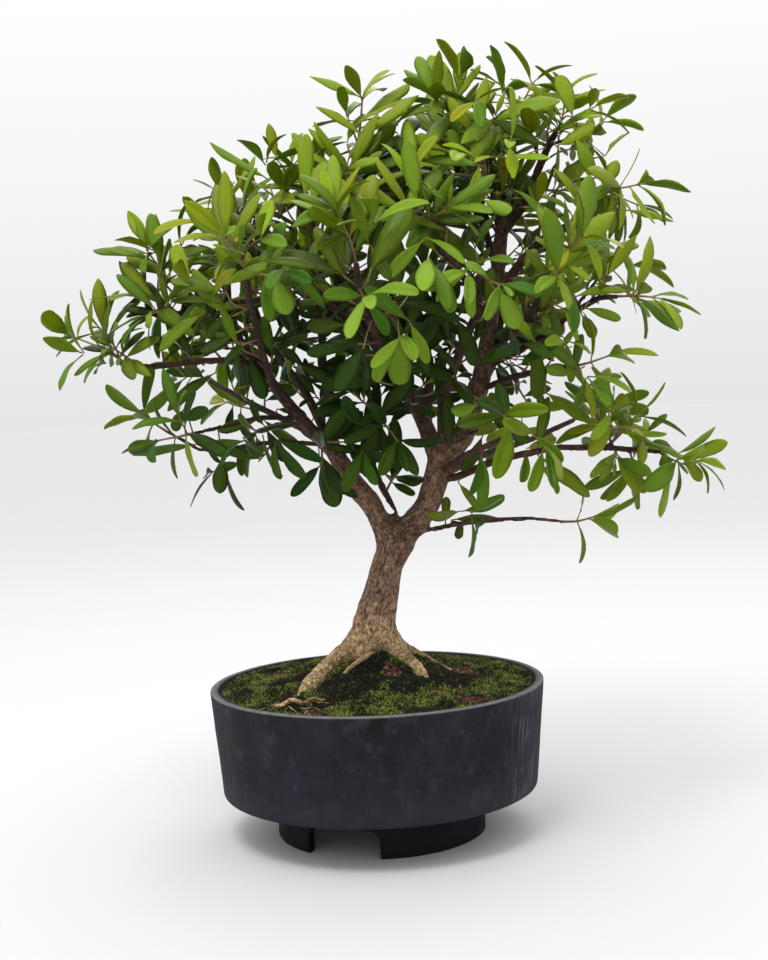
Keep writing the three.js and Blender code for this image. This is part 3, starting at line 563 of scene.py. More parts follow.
def shoot_material():
    """A young stem: reddish brown where it leaves the twig, green towards its tip."""
    s = Shader("shoot", Roughness=0.5)
    reach = s.attribute("reach")
    mottle = s.noise(s.position(), 700, 3)
    old = s.mix(mottle, (74, 52, 40), (116, 82, 58))
    young = s.mix(mottle, (120, 128, 52), (150, 110, 66))
    s.set("Base Color", s.mix(s.between(reach, 0.25, 0.95), old, young))
    s.set("Normal", s.bump(mottle, 0.4, 0.0003))
    return s.material


def bark_material():
    """Bark: tan and speckled at the foot, reddish grey-brown scales above, dark on the twigs, with painted
    shade on the thin wood inside the crown.
    """
    s = Shader("bark", Specular_IOR_Level=0.25)
    grain = s.attribute("grain", "Vector")
    girth, ridge, pale = s.split(s.attribute("bark", "Vector"))
    damp, crown, wrinkles = s.split(s.attribute("place", "Vector"))
    patches = s.noise(s.position(), 70, 4)
    fibres = s.noise(grain, 3.2, 6, 0.68)
    flakes = s.mix(0.5, fibres, s.noise(s.position(), 380, 5, 0.75))
    scales = s.cells(s.scaled(grain, (1.6, 1.6, 1.6)), 3.4, "DISTANCE_TO_EDGE")
    specks = s.mix(0.4, s.noise(s.position(), 640, 4, 0.75), s.noise(grain, 8, 4, 0.75))
    stem = s.mix(s.between(flakes, 0.38, 0.64), (80, 57, 45), (182, 145, 120))
    twig = s.mix(s.between(flakes, 0.38, 0.64), (40, 28, 23), (112, 78, 62))
    wood = s.mix(s.between(girth, 2.0, 7.5), twig, stem)
    wood = s.over(wood, patches, (0.52, 0.66, 0.0, 0.6), (126, 78, 58))
    wood = s.over(wood, patches, (0.46, 0.3, 0.0, 0.6), (62, 48, 40))
    base = s.mix(s.between(flakes, 0.38, 0.62), (122, 88, 56), (250, 214, 162))
    wood = s.mix(s.math("MULTIPLY", pale, s.between(patches, 0.25, 0.6, 0.5, 1.0)), wood, base)
    wood = s.over(wood, specks, (0.56, 0.7, 0.0, 0.55), (196, 172, 142))
    wood = s.over(wood, specks, (0.46, 0.32, 0.0, 0.75), (38, 28, 22))
    seam = s.math("MULTIPLY", s.between(scales, 0.12, 0.0), s.between(flakes, 0.6, 0.4))
    wood = s.mix(s.math("MULTIPLY", seam, 0.4), wood, (42, 31, 25))
    wood = s.over(wood, ridge, (0.0, -0.9, 0.0, 0.7), (34, 26, 20))
    # painted shade: the thin wood inside the crown darkened
    wood = s.mix(s.math("MULTIPLY", crown, 0.5), wood, (34, 26, 22))
    wood = s.mix(s.math("MULTIPLY", wrinkles, 0.75), wood, (44, 30, 24))
    moss = s.math("MULTIPLY", damp, s.between(s.noise(s.position(), 130, 4), 0.4, 0.58))
    wood = s.mix(s.math("MULTIPLY", moss, 0.85), wood, s.mix(specks, (26, 30, 10), (92, 100, 34)))
    s.set("Base Color", wood)
    s.set("Roughness", s.between(flakes, 0.3, 0.7, 0.85, 0.62))
    height = s.math("MULTIPLY_ADD", seam, -1.0, s.math("ADD", flakes, s.math("MULTIPLY", specks, 0.8)))
    s.set("Normal", s.bump(height, 0.9, 0.0008))
    return s.material


def pot_material():
    """Unglazed charcoal stoneware: clouded and blotched, with faint chalky runs and a paler lip, painted
    light low on the wall and painted shade on the foot.
    """
    s = Shader("stoneware", Specular_IOR_Level=0.12)
    place = s.position()
    wall = s.attribute("wall", "Vector")
    pale_lip, chalk, height = s.split(s.attribute("lip_chalk_and_shading", "Vector"))
    foot = s.between(height, -0.5, -0.9)
    clouds = s.noise(place, 24, 5, 0.6)
    smears = s.noise(s.scaled(wall, (1.0, 0.25, 0.0)), 5, 4, 0.55, 0.8)
    grit = s.noise(place, 900, 4, 0.7)
    body = s.mix(s.between(clouds, 0.3, 0.7), (18, 18, 22), (37, 36, 46))
    body = s.over(body, smears, (0.5, 0.75, 0.0, 0.45), (44, 44, 52))
    blotches = s.noise(place, 85, 5, 0.68)
    body = s.over(body, blotches, (0.52, 0.7, 0.0, 0.5), (54, 54, 62))
    body = s.over(body, blotches, (0.46, 0.3, 0.0, 0.6), (15, 15, 18))
    # painted light: the wall lighter towards its bottom
    body = s.over(body, height, (0.0, 1.0, 0.35, 0.0), (50, 50, 58))
    # painted shade: the foot ring nearly black
    body = s.over(body, foot, (0.0, 1.0, 0.0, 0.75), (9, 9, 10))
    body = s.over(body, grit, (0.6, 0.75, 0.0, 0.25), (66, 66, 74))
    body = s.over(body, grit, (0.42, 0.3, 0.0, 0.5), (12, 12, 14))
    runs = s.noise(s.scaled(wall, (1.0, 0.035, 0.0)), 30, 5, 0.65)
    faint = s.math("MULTIPLY", s.between(runs, 0.58, 0.74, 0.0, 0.13), s.between(clouds, 0.4, 0.6))
    body = s.mix(faint, body, (82, 84, 92))
    chalk = s.math("MULTIPLY", chalk, s.between(foot, 0.0, 0.5, 1.0, 0.0))
    strong = s.math("MULTIPLY", chalk, s.between(runs, 0.47, 0.68, 0.0, 0.55))
    strong = s.math("MULTIPLY", strong, s.between(s.noise(place, 70, 4), 0.3, 0.55))
    body = s.mix(strong, body, (122, 128, 136))
    scratches = s.noise(s.scaled(wall, (0.5, 2.6, 0.0)), 38, 3, 0.5, 2.2)
    scratches = s.math("MULTIPLY", s.between(scratches, 0.68, 0.73), s.between(grit, 0.45, 0.6))
    body = s.mix(s.math("MULTIPLY", scratches, 0.4), body, (92, 92, 98))
    lip = s.mix(s.noise(place, 260, 4), (72, 72, 72), (132, 130, 128))
    body = s.mix(s.math("MULTIPLY", pale_lip, s.between(s.noise(place, 180, 4), 0.25, 0.5, 0.45, 1.0)), body, lip)
    s.set("Base Color", body)
    s.set("Roughness", s.between(clouds, 0.3, 0.7, 0.62, 0.8))
    coarse = s.bump(clouds, 0.25, 0.002)
    s.set("Normal", s.bump(s.math("MULTIPLY_ADD", runs, 0.4, grit), 0.28, 0.0004, coarse))
    return s.material


def soil_material():
    """Dark earth, reddish where it is bare, under moss of several greens, with painted shade in its gaps and
    in the dark places.
    """
    s = Shader("soil", Roughness=0.95, Specular_IOR_Level=0.2)
    moss, tone, _ = s.split(s.attribute("moss", "Vector"))
    place = s.position()
    grains = s.noise(place, 520, 4, 0.7)
    patches = s.noise(place, 60, 4)
    # the darkest grains of earth and green, and the near-black specks, are partly painted shade in the gaps
    # between grains and tufts
    earth = s.mix(s.between(grains, 0.42, 0.65), (14, 9, 8), (118, 66, 54))
    earth = s.over(earth, patches, (0.5, 0.7), (52, 38, 26))
    green = s.mix(s.between(tone, 0.2, 0.85), (6, 7, 3), (74, 90, 26))
    green = s.over(green, grains, (0.62, 0.45), (4, 5, 2))
    s.set("Base Color", s.mix(s.between(moss, 0.3, 0.6), earth, green))
    s.set("Normal", s.bump(grains, 0.9, 0.0012))
    return s.material


def moss_material():
    """Tufts: nearly black at the foot, partly as painted shade between them, dull brown green to bright
    yellow green at the tip, darker under the ground's painted shade.
    """
    s = Shader("moss", Roughness=0.85, Specular_IOR_Level=0.2)
    reach, tone, _ = s.split(s.attribute("moss", "Vector"))
    # the foot nearly black, partly painted shade between the tufts
    low = s.mix(tone, (5, 6, 3), (46, 50, 15))
    dull = s.mix(s.noise(s.position(), 90, 3), (36, 40, 15), (70, 60, 30))
    high = s.over(dull, tone, (0.3, 0.62), (100, 132, 34))
    high = s.over(high, tone, (0.62, 0.92), (178, 176, 84))
    s.set("Base Color", s.mix(reach, low, high))
    s.set("Normal", s.bump(s.noise(s.position(), 1500, 2), 0.3, 0.0002))
    return s.material


def grit_material():
    """Crumbs of dark earth and some of pale stone."""
    s = Shader("grit", Roughness=0.9, Specular_IOR_Level=0.25)
    tone = s.attribute("tone")
    specks = s.noise(s.position(), 900, 4, 0.7)
    dark = s.mix(specks, (36, 26, 20), (92, 64, 46))
    pale = s.mix(specks, (112, 84, 58), (168, 140, 108))
    s.set("Base Color", s.mix(s.between(tone, 0.55, 0.9), dark, pale))
    s.set("Normal", s.bump(specks, 0.7, 0.0005))
    return s.material


def root_material():
    """Dry, bleached old root."""
    s = Shader("old_root", Roughness=0.85, Specular_IOR_Level=0.25)
    fibres = s.noise(s.scaled(s.position(), (0.35, 1.0, 1.0)), 700, 5, 0.65)
    stains = s.noise(s.position(), 120, 3)
    wood = s.mix(s.between(fibres, 0.35, 0.65), (92, 64, 40), (204, 172, 126))
    s.set("Base Color", s.over(wood, stains, (0.48, 0.62, 0.0, 0.75), (72, 54, 36)))
    s.set("Normal", s.bump(fibres, 0.6, 0.0004))
    return s.material


def floor_material():
    """The plain grey of the studio floor, which the light overhead makes as bright as the horizon."""
    s = Shader("floor", Roughness=0.8, Specular_IOR_Level=0.1)
    shades = [[FLOOR_SHADE + step] * 3 + [1] for step in (-0.01, 0.01)]
    s.set("Base Color", s.mix(s.noise(s.position(), 3, 2), *shades))
    return s.material


# ================= pot =================


def pot_profile():
    """The pot's section from the axis out, round and back, as distance from the axis and height."""
    rim = RIM_HEIGHT
    slope = (RIM_RADIUS - BODY_BOTTOM_RADIUS) / (rim - BODY_BOTTOM)
    inner_foot = BODY_BOTTOM_RADIUS + slope * (FLOOR_TOP - BODY_BOTTOM) - WALL
    corners = [
        (0, FLOOR_UNDERSIDE, 0), (FOOT_RADIUS - FOOT_WALL, FLOOR_UNDERSIDE, 1.5),
        (FOOT_RADIUS - FOOT_WALL, 0, 1.6), (FOOT_RADIUS, 0, 1.6), (FOOT_RADIUS, BODY_BOTTOM, 1.0),
        (BODY_BOTTOM_RADIUS, BODY_BOTTOM, 2.2), (RIM_RADIUS, rim, 1.5), (RIM_RADIUS - WALL, rim, 1.2),
        (inner_foot, FLOOR_TOP, 2.5), (0, FLOOR_TOP, 0),
    ]
    profile = []
    for i, (radius, height, rounding) in enumerate(corners):
        corner = np.array([radius, height])
        if not rounding:
            profile.append(corner)
            continue
        before = unit(np.array(corners[i - 1][:2]) - corner)
        after = unit(np.array(corners[i + 1][:2]) - corner)
        cut = rounding * MM
        start, end = corner + before * cut, corner + after * cut
        for t in np.linspace(0, 1, ROUNDING_STEPS):
            profile.append((1 - t) ** 2 * start + 2 * t * (1 - t) * corner + t * t * end)
    fine = [profile[0]]
    for point in profile[1:]:
        steps = max(1, round(np.linalg.norm(point - fine[-1]) / PROFILE_STEP))
        first = fine[-1]
        fine.extend(first + (point - first) * (k + 1) / steps for k in range(steps))
    return np.array(fine)


def spun(profile, centre, segments):
    """A solid of revolution whose profile starts and ends on the axis, upright through centre."""
    angles = np.arange(segments) * TURN / segments
    inner = profile[1:-1]
    rings = [
        np.column_stack([np.cos(a) * inner[:, 0], np.sin(a) * inner[:, 0], inner[:, 1]]) for a in angles
    ]
    count = len(inner)
    points = np.vstack([*rings, [(0, 0, profile[0][1]), (0, 0, profile[-1][1])]])
    points[:, :2] += centre
    faces = []
    for i in range(segments):
        here, there = i * count, (i + 1) % segments * count
        faces.extend((here + k, there + k, there + k + 1, here + k + 1) for k in range(count - 1))
        faces.append((here, segments * count, there))
        faces.append((here + count - 1, there + count - 1, segments * count + 1))
    return points, faces


def notch_cutter(angle):
    """Takes an arch out of the foot ring, with the ring's own edges rounded along it."""
    side, rise, corner = NOTCH_WIDTH / 2, NOTCH_HEIGHT, NOTCH_CORNER
    flat = [(-side, -2 * MM), (-side, rise - corner)]
    for turn in np.linspace(math.pi, math.pi / 2, 8):
        flat.append((-side + corner + corner * math.cos(turn), rise - corner + corner * math.sin(turn)))
    flat += [(-x, z) for x, z in reversed(flat)]
    outline = np.array(flat)
    edges = np.gradient(outline, axis=0)
    outward = unit(np.column_stack([-edges[:, 1], edges[:, 0]]))
    inner, outer = FOOT_RADIUS - FOOT_WALL, FOOT_RADIUS
    rounding = EDGE_ROUNDING
    steps = [0.0, 0.45, 0.75, 0.93, 1.0]
    flares = [1 - math.sqrt(1 - s * s) for s in steps]
    stations = [(inner - 7 * MM, rounding)]
    stations += [(inner + (1 - s) * rounding, f * rounding) for s, f in zip(steps[::-1], flares[::-1])]
    stations += [(outer - (1 - s) * rounding, f * rounding) for s, f in zip(steps, flares)]
    stations += [(outer + 8 * MM, rounding)]
    rings = []
    for distance, flare in stations:
        across, height = (outline + outward * flare).T
        depth = np.sqrt(distance**2 - across**2)
        rings.append(np.column_stack([depth, -across, height]))
    points = np.vstack(rings)
    turn = math.radians(angle)
    c, s = math.cos(turn), math.sin(turn)
    points = points @ np.array([[c, s, 0], [-s, c, 0], [0, 0, 1]])
    return points, loft_faces(len(stations), len(outline))


def drain_cutter(angle):
    turn = math.radians(angle)
    centre = DRAIN_CIRCLE * np.array([math.cos(turn), math.sin(turn)])
    flare = DRAIN_FLARE
    low, high = FLOOR_UNDERSIDE, FLOOR_TOP
    profile = [(0, low - 3 * MM), (DRAIN_RADIUS + flare, low - 3 * MM), (DRAIN_RADIUS + flare, low)]
    profile += [(DRAIN_RADIUS + 0.35 * flare, low + 0.35 * flare), (DRAIN_RADIUS, low + flare)]
    profile += [(DRAIN_RADIUS, high - flare), (DRAIN_RADIUS + 0.35 * flare, high - 0.35 * flare)]
    profile += [(DRAIN_RADIUS + flare, high), (DRAIN_RADIUS + flare, high + 3 * MM), (0, high + 3 * MM)]
    return spun(np.array(profile), centre, 40)


def outward_faces(piece):
    """Turns every face of a closed piece outward."""
    work = bmesh.new()
    work.from_mesh(piece.data)
    bmesh.ops.recalc_face_normals(work, faces=work.faces)
    work.to_mesh(piece.data)
    work.free()


def cut_openings(pot):
    """Takes the foot ring's notches and the floor's drains out of the pot."""
    cutters = []
    for angle in NOTCH_ANGLES:
        for points, faces in (notch_cutter(angle), drain_cutter(angle)):
            cutter = new_object("cutter", points, faces)
            outward_faces(cutter)
            cutters.append(cutter)
    for cutter in cutters:
        cut = pot.modifiers.new("cut", "BOOLEAN")
        cut.object = cutter
        cut.operation = "DIFFERENCE"
        cut.solver = "EXACT"
    apply_modifiers(pot)
    for cutter in cutters:
        bpy.data.meshes.remove(cutter.data)


def chalk_at(angles):
    """How chalky the wall is at angles round the pot, from 0 to 1."""
    chalk = np.zeros(len(angles))
    for middle, spread, strength in CHALKY_PLACES:
        away = (np.degrees(angles) - middle + 180) % 360 - 180
        chalk += strength * np.exp(-((away / spread) ** 2))
    return np.clip(chalk, 0, 1)


def build_pot():
    points, faces = spun(pot_profile(), np.zeros(2), POT_SEGMENTS)
    pot = new_object("drum_pot", points, faces, [pot_material()])
    outward_faces(pot)
    cut_openings(pot)
    mesh = pot.data
    points = points_of(mesh)
    spot = points.copy()
    angles = np.arctan2(points[:, 1], points[:, 0])
    radius = np.hypot(points[:, 0], points[:, 1])
    for i, (x, y, z) in enumerate(spot):
        place = Vector((x, y, z)) / POT_WAVE
        swell = noise.noise(place) + 0.35 * noise.noise(place * 4.3)
        share = POT_UNEVENNESS * swell / max(radius[i], 1e-6)
        if z > 2 * MM:
            points[i, 0] += x * share
            points[i, 1] += y * share
        if z > RIM_HEIGHT - 0.4 * MM:
            points[i, 2] += RIM_UNEVENNESS * noise.noise(place * 1.7) - 0.1 * MM
    pale_lip = smoothstep(RIM_HEIGHT - 1.0 * MM, RIM_HEIGHT - 0.2 * MM, spot[:, 2])
    pale_lip *= smoothstep(RIM_RADIUS - PALE_LIP[0], RIM_RADIUS - PALE_LIP[1], radius)
    points[:, :2] += POT_AXIS
    write_points(mesh, points)
    set_attribute(mesh, "wall", np.column_stack([angles * 3.5, spot[:, 2] / (30 * MM), 0 * angles]))
    # height up the wall, and -1 on the foot: it carries the painted light low on the wall and the painted
    # shade on the foot
    height = smoothstep(BODY_BOTTOM, BODY_BOTTOM + 30 * MM, spot[:, 2])
    height -= spot[:, 2] < BODY_BOTTOM - 0.5 * MM
    set_attribute(mesh, "lip_chalk_and_shading", np.column_stack([pale_lip, chalk_at(angles), height]))
    mesh.set_sharp_from_angle(angle=math.radians(38))
    finished(pot, "stoneware", "pot")


# ================= soil =================


def disc_grid(cells):
    """A square grid drawn out to a round disc of radius 1."""
    steps = np.linspace(-1, 1, cells + 1)
    x, y = np.meshgrid(steps, steps)
    return x * np.sqrt(1 - y * y / 2), y * np.sqrt(1 - x * x / 2)


def hills(x, y, places):
    """Sum of soft hills at places given in mm as x, y, radius and height."""
    total = np.zeros_like(x)
    for a, b, size, rise in places:
        total += rise * np.exp(-((x - a * MM) ** 2 + (y - b * MM) ** 2) / (size * MM) ** 2)
    return total


class Ground:
    """The lie of the soil: height, moss and its tone at each place, measured from the pot's axis."""

    # x, y and radius in mm, and how much the moss thins there: reddish earth shows through
    BARE = [
        (9, -30, 7, 0.9), (55, -5, 9, 1.0), (57, -64, 8, 1.0), (-38, -80, 7, 1.0), (34, -52, 5, 0.7),
        (-20, 62, 12, 1.0), (44, 50, 10, 1.0), (-62, 40, 9, 0.8), (10, 84, 8, 0.8),
    ]
    # x, y, radius and depth of shade
    DARK = [
        (-56, -16, 13, 1.0), (-8, -40, 14, 1.0), (-12, -24, 9, 0.9), (-20, -62, 11, 0.8),
        (12, -52, 9, 0.5), (46, -30, 9, 0.6), (70, 12, 8, 0.5), (-30, 34, 12, 0.7), (20, 62, 12, 0.6),
        (18, -38, 11, 0.8), (2, -20, 8, 0.8), (-30, -52, 9, 0.7),
    ]
    # x, y, radius and brightness of fresh green
    FRESH = [
        (-66, 0, 15, 1.0), (-72, -30, 10, 0.6), (-3, -70, 12, 0.8), (80, 34, 14, 0.9),
        (66, -36, 12, 0.6), (26, -68, 9, 0.5), (-50, 66, 14, 0.9), (58, 62, 12, 0.8), (0, 50, 10, 0.6),
    ]
    # heaps of moss against the roots: x, y, radius and height
    HEAPS = [
        (4, -19, 7, 8), (-24, -30, 8, 1.5), (-45, -55, 6.5, 5), (38, -36, 9, 2), (30, -33, 6, -0.5),
        (-60, -20, 10, 1.5), (46, 10, 10, 2), (0, 34, 9, 3), (-30, 12, 9, 2),
    ]

    def __init__(self):
        rng = np.random.default_rng(CUSHION_SEED)
        self.cushions = []
        for _ in range(CUSHIONS):
            angle = rng.uniform(0, TURN)
            distance = SOIL_RADIUS * math.sqrt(rng.uniform(0.02, 0.97))
            size = rng.uniform(*CUSHION_SIZES) * MM
            self.cushions.append((distance * math.cos(angle), distance * math.sin(angle), size))

    def at(self, x, y):
        """Height above the table, share of moss and its tone, darkened by painted shade in the dark places,
        for arrays of places.
        """
        radius = np.hypot(x, y)
        mound = RIM_HEIGHT + SOIL_EDGE + MOUND_HEIGHT * np.exp(-((radius / MOUND_SPREAD) ** 2))
        shape = x.shape
        broad, fine, cover, hue = (np.empty(x.size) for _ in range(4))
        for i, (a, b) in enumerate(zip(x.ravel().tolist(), y.ravel().tolist())):
            place = Vector((a, b, 0.013)) / (17 * MM)
            broad[i] = noise.noise(place)
            fine[i] = noise.noise(place * 6.1) + 0.5 * noise.noise(place * 15)
            cover[i] = noise.noise(place * 0.9 + Vector((7, 3, 1))) + 0.5 * noise.noise(place * 3.7)
            hue[i] = noise.noise(place * 1.1 + Vector((2, 9, 4))) + 0.6 * noise.noise(place * 4.9)
        broad, fine, cover, hue = (field.reshape(shape) for field in (broad, fine, cover, hue))
        moss = 0.86 + 0.55 * cover - hills(x, y, self.BARE) * 1.1
        moss = smoothstep(0.2, 0.62, moss)
        # tone: random hue, patches of fresh green, and painted shade in the dark places
        tone = 0.52 + 1.1 * hue + 0.75 * hills(x, y, self.FRESH) - 0.95 * hills(x, y, self.DARK)
        cushion = np.zeros(shape)
        for a, b, size in self.cushions:
            spread = ((x - a) ** 2 + (y - b) ** 2) / size**2
            cushion = np.maximum(cushion, np.clip(1 - spread, 0, 1) ** 0.6 * size * 0.26)
        inside = smoothstep(SOIL_RADIUS, SOIL_RADIUS - SOIL_FADE, radius)
        lumps = 0.9 * MM * broad + 0.65 * MM * fine + hills(x, y, self.HEAPS) * MM
        height = mound + inside * (lumps + cushion * moss - 0.8 * MM) + (1 - inside) * 0.8 * MM
        return height, moss, np.clip(tone, 0, 1)


def build_soil(ground):
    round_x, round_y = disc_grid(SOIL_CELLS)
    x, y = round_x * SOIL_RADIUS, round_y * SOIL_RADIUS
    height, moss, tone = ground.at(x, y)
    count = SOIL_CELLS + 1
    top = np.column_stack([x.ravel(), y.ravel(), height.ravel()])
    index = np.arange(count * count).reshape(count, count)
    faces = [
        (index[i, k], index[i, k + 1], index[i + 1, k + 1], index[i + 1, k])
        for i in range(SOIL_CELLS) for k in range(SOIL_CELLS)
    ]
    rim = [*index[0, :-1], *index[:-1, -1], *index[-1, :0:-1], *index[:0:-1, 0]]
    below = top[rim] * [SOIL_BOTTOM_RADIUS / SOIL_RADIUS, SOIL_BOTTOM_RADIUS / SOIL_RADIUS, 0]
    below[:, 2] = SOIL_BOTTOM
    base = len(top)
    points = np.vstack([top, below])
    points[:, :2] += POT_AXIS
    size = len(rim)
    for k in range(size):
        n = (k + 1) % size
        faces.append((rim[n], rim[k], base + k, base + n))
    faces.append(tuple(base + k for k in reversed(range(size))))
    soil = new_object("planting_soil", points, faces, [soil_material()])
    cover = np.zeros((len(points), 3))
    cover[: len(top), 0] = moss.ravel()
    cover[: len(top), 1] = tone.ravel()
    set_attribute(soil.data, "moss", cover)
    finished(soil, "mossy_soil", "soil")


def free_places(count, seed, ground, wood, keep):
    """Places on the soil that no wood covers, with height and tone, where keep is true of the moss."""
    rng = np.random.default_rng(seed)
    found = []
    while len(found) < count:
        angle = rng.uniform(0, TURN, 4 * count)
        distance = (SOIL_RADIUS - 1.2 * MM) * np.sqrt(rng.uniform(0, 1, 4 * count))
        x, y = distance * np.cos(angle), distance * np.sin(angle)
        height, moss, tone = ground.at(x, y)
        chosen = keep(moss, rng.uniform(0, 1, 4 * count))
        for a, b, h, m in zip(x[chosen], y[chosen], height[chosen], tone[chosen]):
            spot = Vector((a + POT_AXIS[0], b + POT_AXIS[1], h))
            if wood.ray_cast(spot - Vector((0, 0, 2 * MM)), Vector((0, 0, 1)), 12 * MM)[0] is None:
                found.append((*spot, m))
                if len(found) == count:
                    break
    return np.array(found), rng


def build_moss(ground, wood):
    """Stubby pointed tufts that stand on the mossy places."""
    places, rng = free_places(MOSS_BLADES, MOSS_SEED, ground, wood, lambda moss, chance: chance < moss**1.5)
    points, faces, tone = [], [], []
    for x, y, z, shade in places:
        height = rng.uniform(*MOSS_HEIGHTS)
        half = rng.uniform(*MOSS_HALF_WIDTHS)
        turn = rng.uniform(0, TURN)
        lean = rng.normal(0, 0.5, 2) * height
        start = len(points)
        for k in range(3):
            angle = turn + k * TURN / 3
            points.append((x + half * math.cos(angle), y + half * math.sin(angle), z - 0.5 * MM))
        points.append((x + lean[0], y + lean[1], z + height))
        shade = np.clip(shade + rng.normal(0, 0.32), 0, 1)
        tone.extend([(0, shade, 0)] * 3 + [(1, shade, 0)])
        faces.append((start, start + 2, start + 1))
        faces.extend((start + k, start + (k + 1) % 3, start + 3) for k in range(3))
    moss = new_object("moss", points, faces, [moss_material()], smooth=False)
    set_attribute(moss.data, "moss", tone)
    finished(moss, "mossy_soil")


def build_grit(ground, wood):
    """Small stones and crumbs of earth on the bare places."""
    places, rng = free_places(GRIT_COUNT, GRIT_SEED, ground, wood, lambda moss, chance: chance > moss + 0.1)
    work = bmesh.new()
    bmesh.ops.create_icosphere(work, subdivisions=2, radius=1)
    shape = np.array([v.co[:] for v in work.verts])
    cells = [[v.index for v in face.verts] for face in work.faces]
    work.free()
    points, faces, tone = [], [], []
    for x, y, z, _ in places:
        size = rng.uniform(0.4, 1.0) ** 1.6 * GRIT_SIZE
        stretch = rng.uniform(0.65, 1.2, 3)
        seed = Vector(rng.uniform(0, 50, 3))
        start = len(points)
        for corner in shape:
            bulge = 1 + 0.7 * noise.noise(Vector(corner) * 1.3 + seed)
            points.append(np.array([x, y, z + 0.25 * size]) + corner * stretch * size * bulge)
        faces.extend([start + k for k in cell] for cell in cells)
        tone.extend([rng.uniform()] * len(shape))
    grit = new_object("grit", points, faces, [grit_material()])
    set_attribute(grit.data, "tone", tone)
    finished(grit, "mossy_soil")


def build_loose_root(ground):
    """The old root that lies on the soil, with the pale rootlets beside it."""
    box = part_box("loose_root")
    low, high = np.array(box[0]), np.array(box[1])
    path = smooth_path(np.array(LOOSE_ROOT) * [MM, MM, 1], 14)
    radii = path[:, 2] * LOOSE_ROOT_RADIUS
    walked = np.linspace(0, 1, len(path))
    path[:, 1] += 0.9 * MM * np.sin(walked * 13)
    height = ground.at(path[:, 0], path[:, 1])[0]
    middle = np.convolve(np.pad(height, 6, "edge"), np.ones(13) / 13, "valid")
    middle = middle + radii * (1.3 + 0.9 * np.sin(walked * 15 + 2))
    line = np.column_stack([path[:, :2] + POT_AXIS, middle])
    line[:, 2] = np.clip(line[:, 2], low[2] + radii, high[2] - radii * 0.4)
    sides = 20
    points = tube(line, radii, sides)
    spine = np.repeat(line, sides, axis=0)
    for i, point in enumerate(points):
        place = Vector(point)
        out = point - spine[i]
        groove = noise.noise(Vector((place.x * 130, out[1] * 1400, out[2] * 1400)))
        points[i] = spine[i] + out * (1 + 0.22 * groove + 0.12 * noise.noise(place * 420))
    faces = loft_faces(len(line), sides)
    for route in ROOTLETS:
        curve = smooth_path(np.array(route) * MM, 10)
        height = ground.at(curve[:, 0], curve[:, 1])[0]
        curve[:, 2] += height + 0.2 * MM
        curve[:, :2] += POT_AXIS
        thin = np.linspace(*ROOTLET_RADII, len(curve)) * MM
        faces.extend(loft_faces(len(curve), 8, start=len(points)))
        points = np.vstack([points, tube(curve, thin, 8)])
    root = new_object("old_root", points, faces, [root_material()])
    outward_faces(root)
    finished(root, "old_root", "loose_root")


# ================= wood =================


def packed_mesh(node):
    """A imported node's welded points, its triangles and its edges."""
    mesh = frame["nodes"][node].data
    points = points_of(mesh)
    corners = numbers_of(mesh.loops, "vertex_index", 1, np.int64)
    _, first, index = np.unique(
        np.round(points / WELD).astype(np.int64), axis=0, return_index=True, return_inverse=True
    )
    faces = index.ravel()[corners].reshape(-1, 3)
    edges = np.vstack([faces[:, [0, 1]], faces[:, [1, 2]], faces[:, [2, 0]]])
    return points[first], faces, np.unique(np.sort(edges, axis=1), axis=0)


class Averager:
    """Averages values over each point's neighbours in a mesh."""

    def __init__(self, edges, count):
        self.ends = np.concatenate([edges[:, 0], edges[:, 1]])
        self.starts = np.concatenate([edges[:, 1], edges[:, 0]])
        self.count = count
        self.neighbours = np.maximum(np.bincount(self.ends, minlength=count), 1)

    def __call__(self, values):
        if values.ndim == 1:
            return np.bincount(self.ends, values[self.starts], self.count) / self.neighbours
        return np.column_stack([self(values[:, k]) for k in range(values.shape[1])])


def surface_normals(points, faces):
    """Outward directions at the points of a mesh of triangles or quads."""
    a, b = points[faces[:, 2]] - points[faces[:, 0]], points[faces[:, -1]] - points[faces[:, 1]]
    across = np.cross(a, b)
    total = np.zeros_like(points)
    for k in range(faces.shape[1]):
        for axis in range(3):
            total[:, axis] += np.bincount(faces[:, k], across[:, axis], len(points))
    return unit(total)


def walk_lengths(points, edges, sources):
    """Length of the shortest walk along the mesh's edges from the sources to each point."""
    lengths = np.linalg.norm(points[edges[:, 0]] - points[edges[:, 1]], axis=1)
    links = [[] for _ in range(len(points))]
    for (a, b), length in zip(edges.tolist(), lengths.tolist()):
        links[a].append((b, length))
        links[b].append((a, length))
    reached = [math.inf] * len(points)
    queue = []
    for source in sources:
        reached[source] = 0.0
        queue.append((0.0, int(source)))
    heapq.heapify(queue)
    while queue:
        walked, here = heapq.heappop(queue)
        if walked > reached[here]:
            continue
        for there, length in links[here]:
            if walked + length < reached[there]:
                reached[there] = walked + length
                heapq.heappush(queue, (walked + length, there))
    result = np.array(reached)
    result[~np.isfinite(result)] = 0
    return result


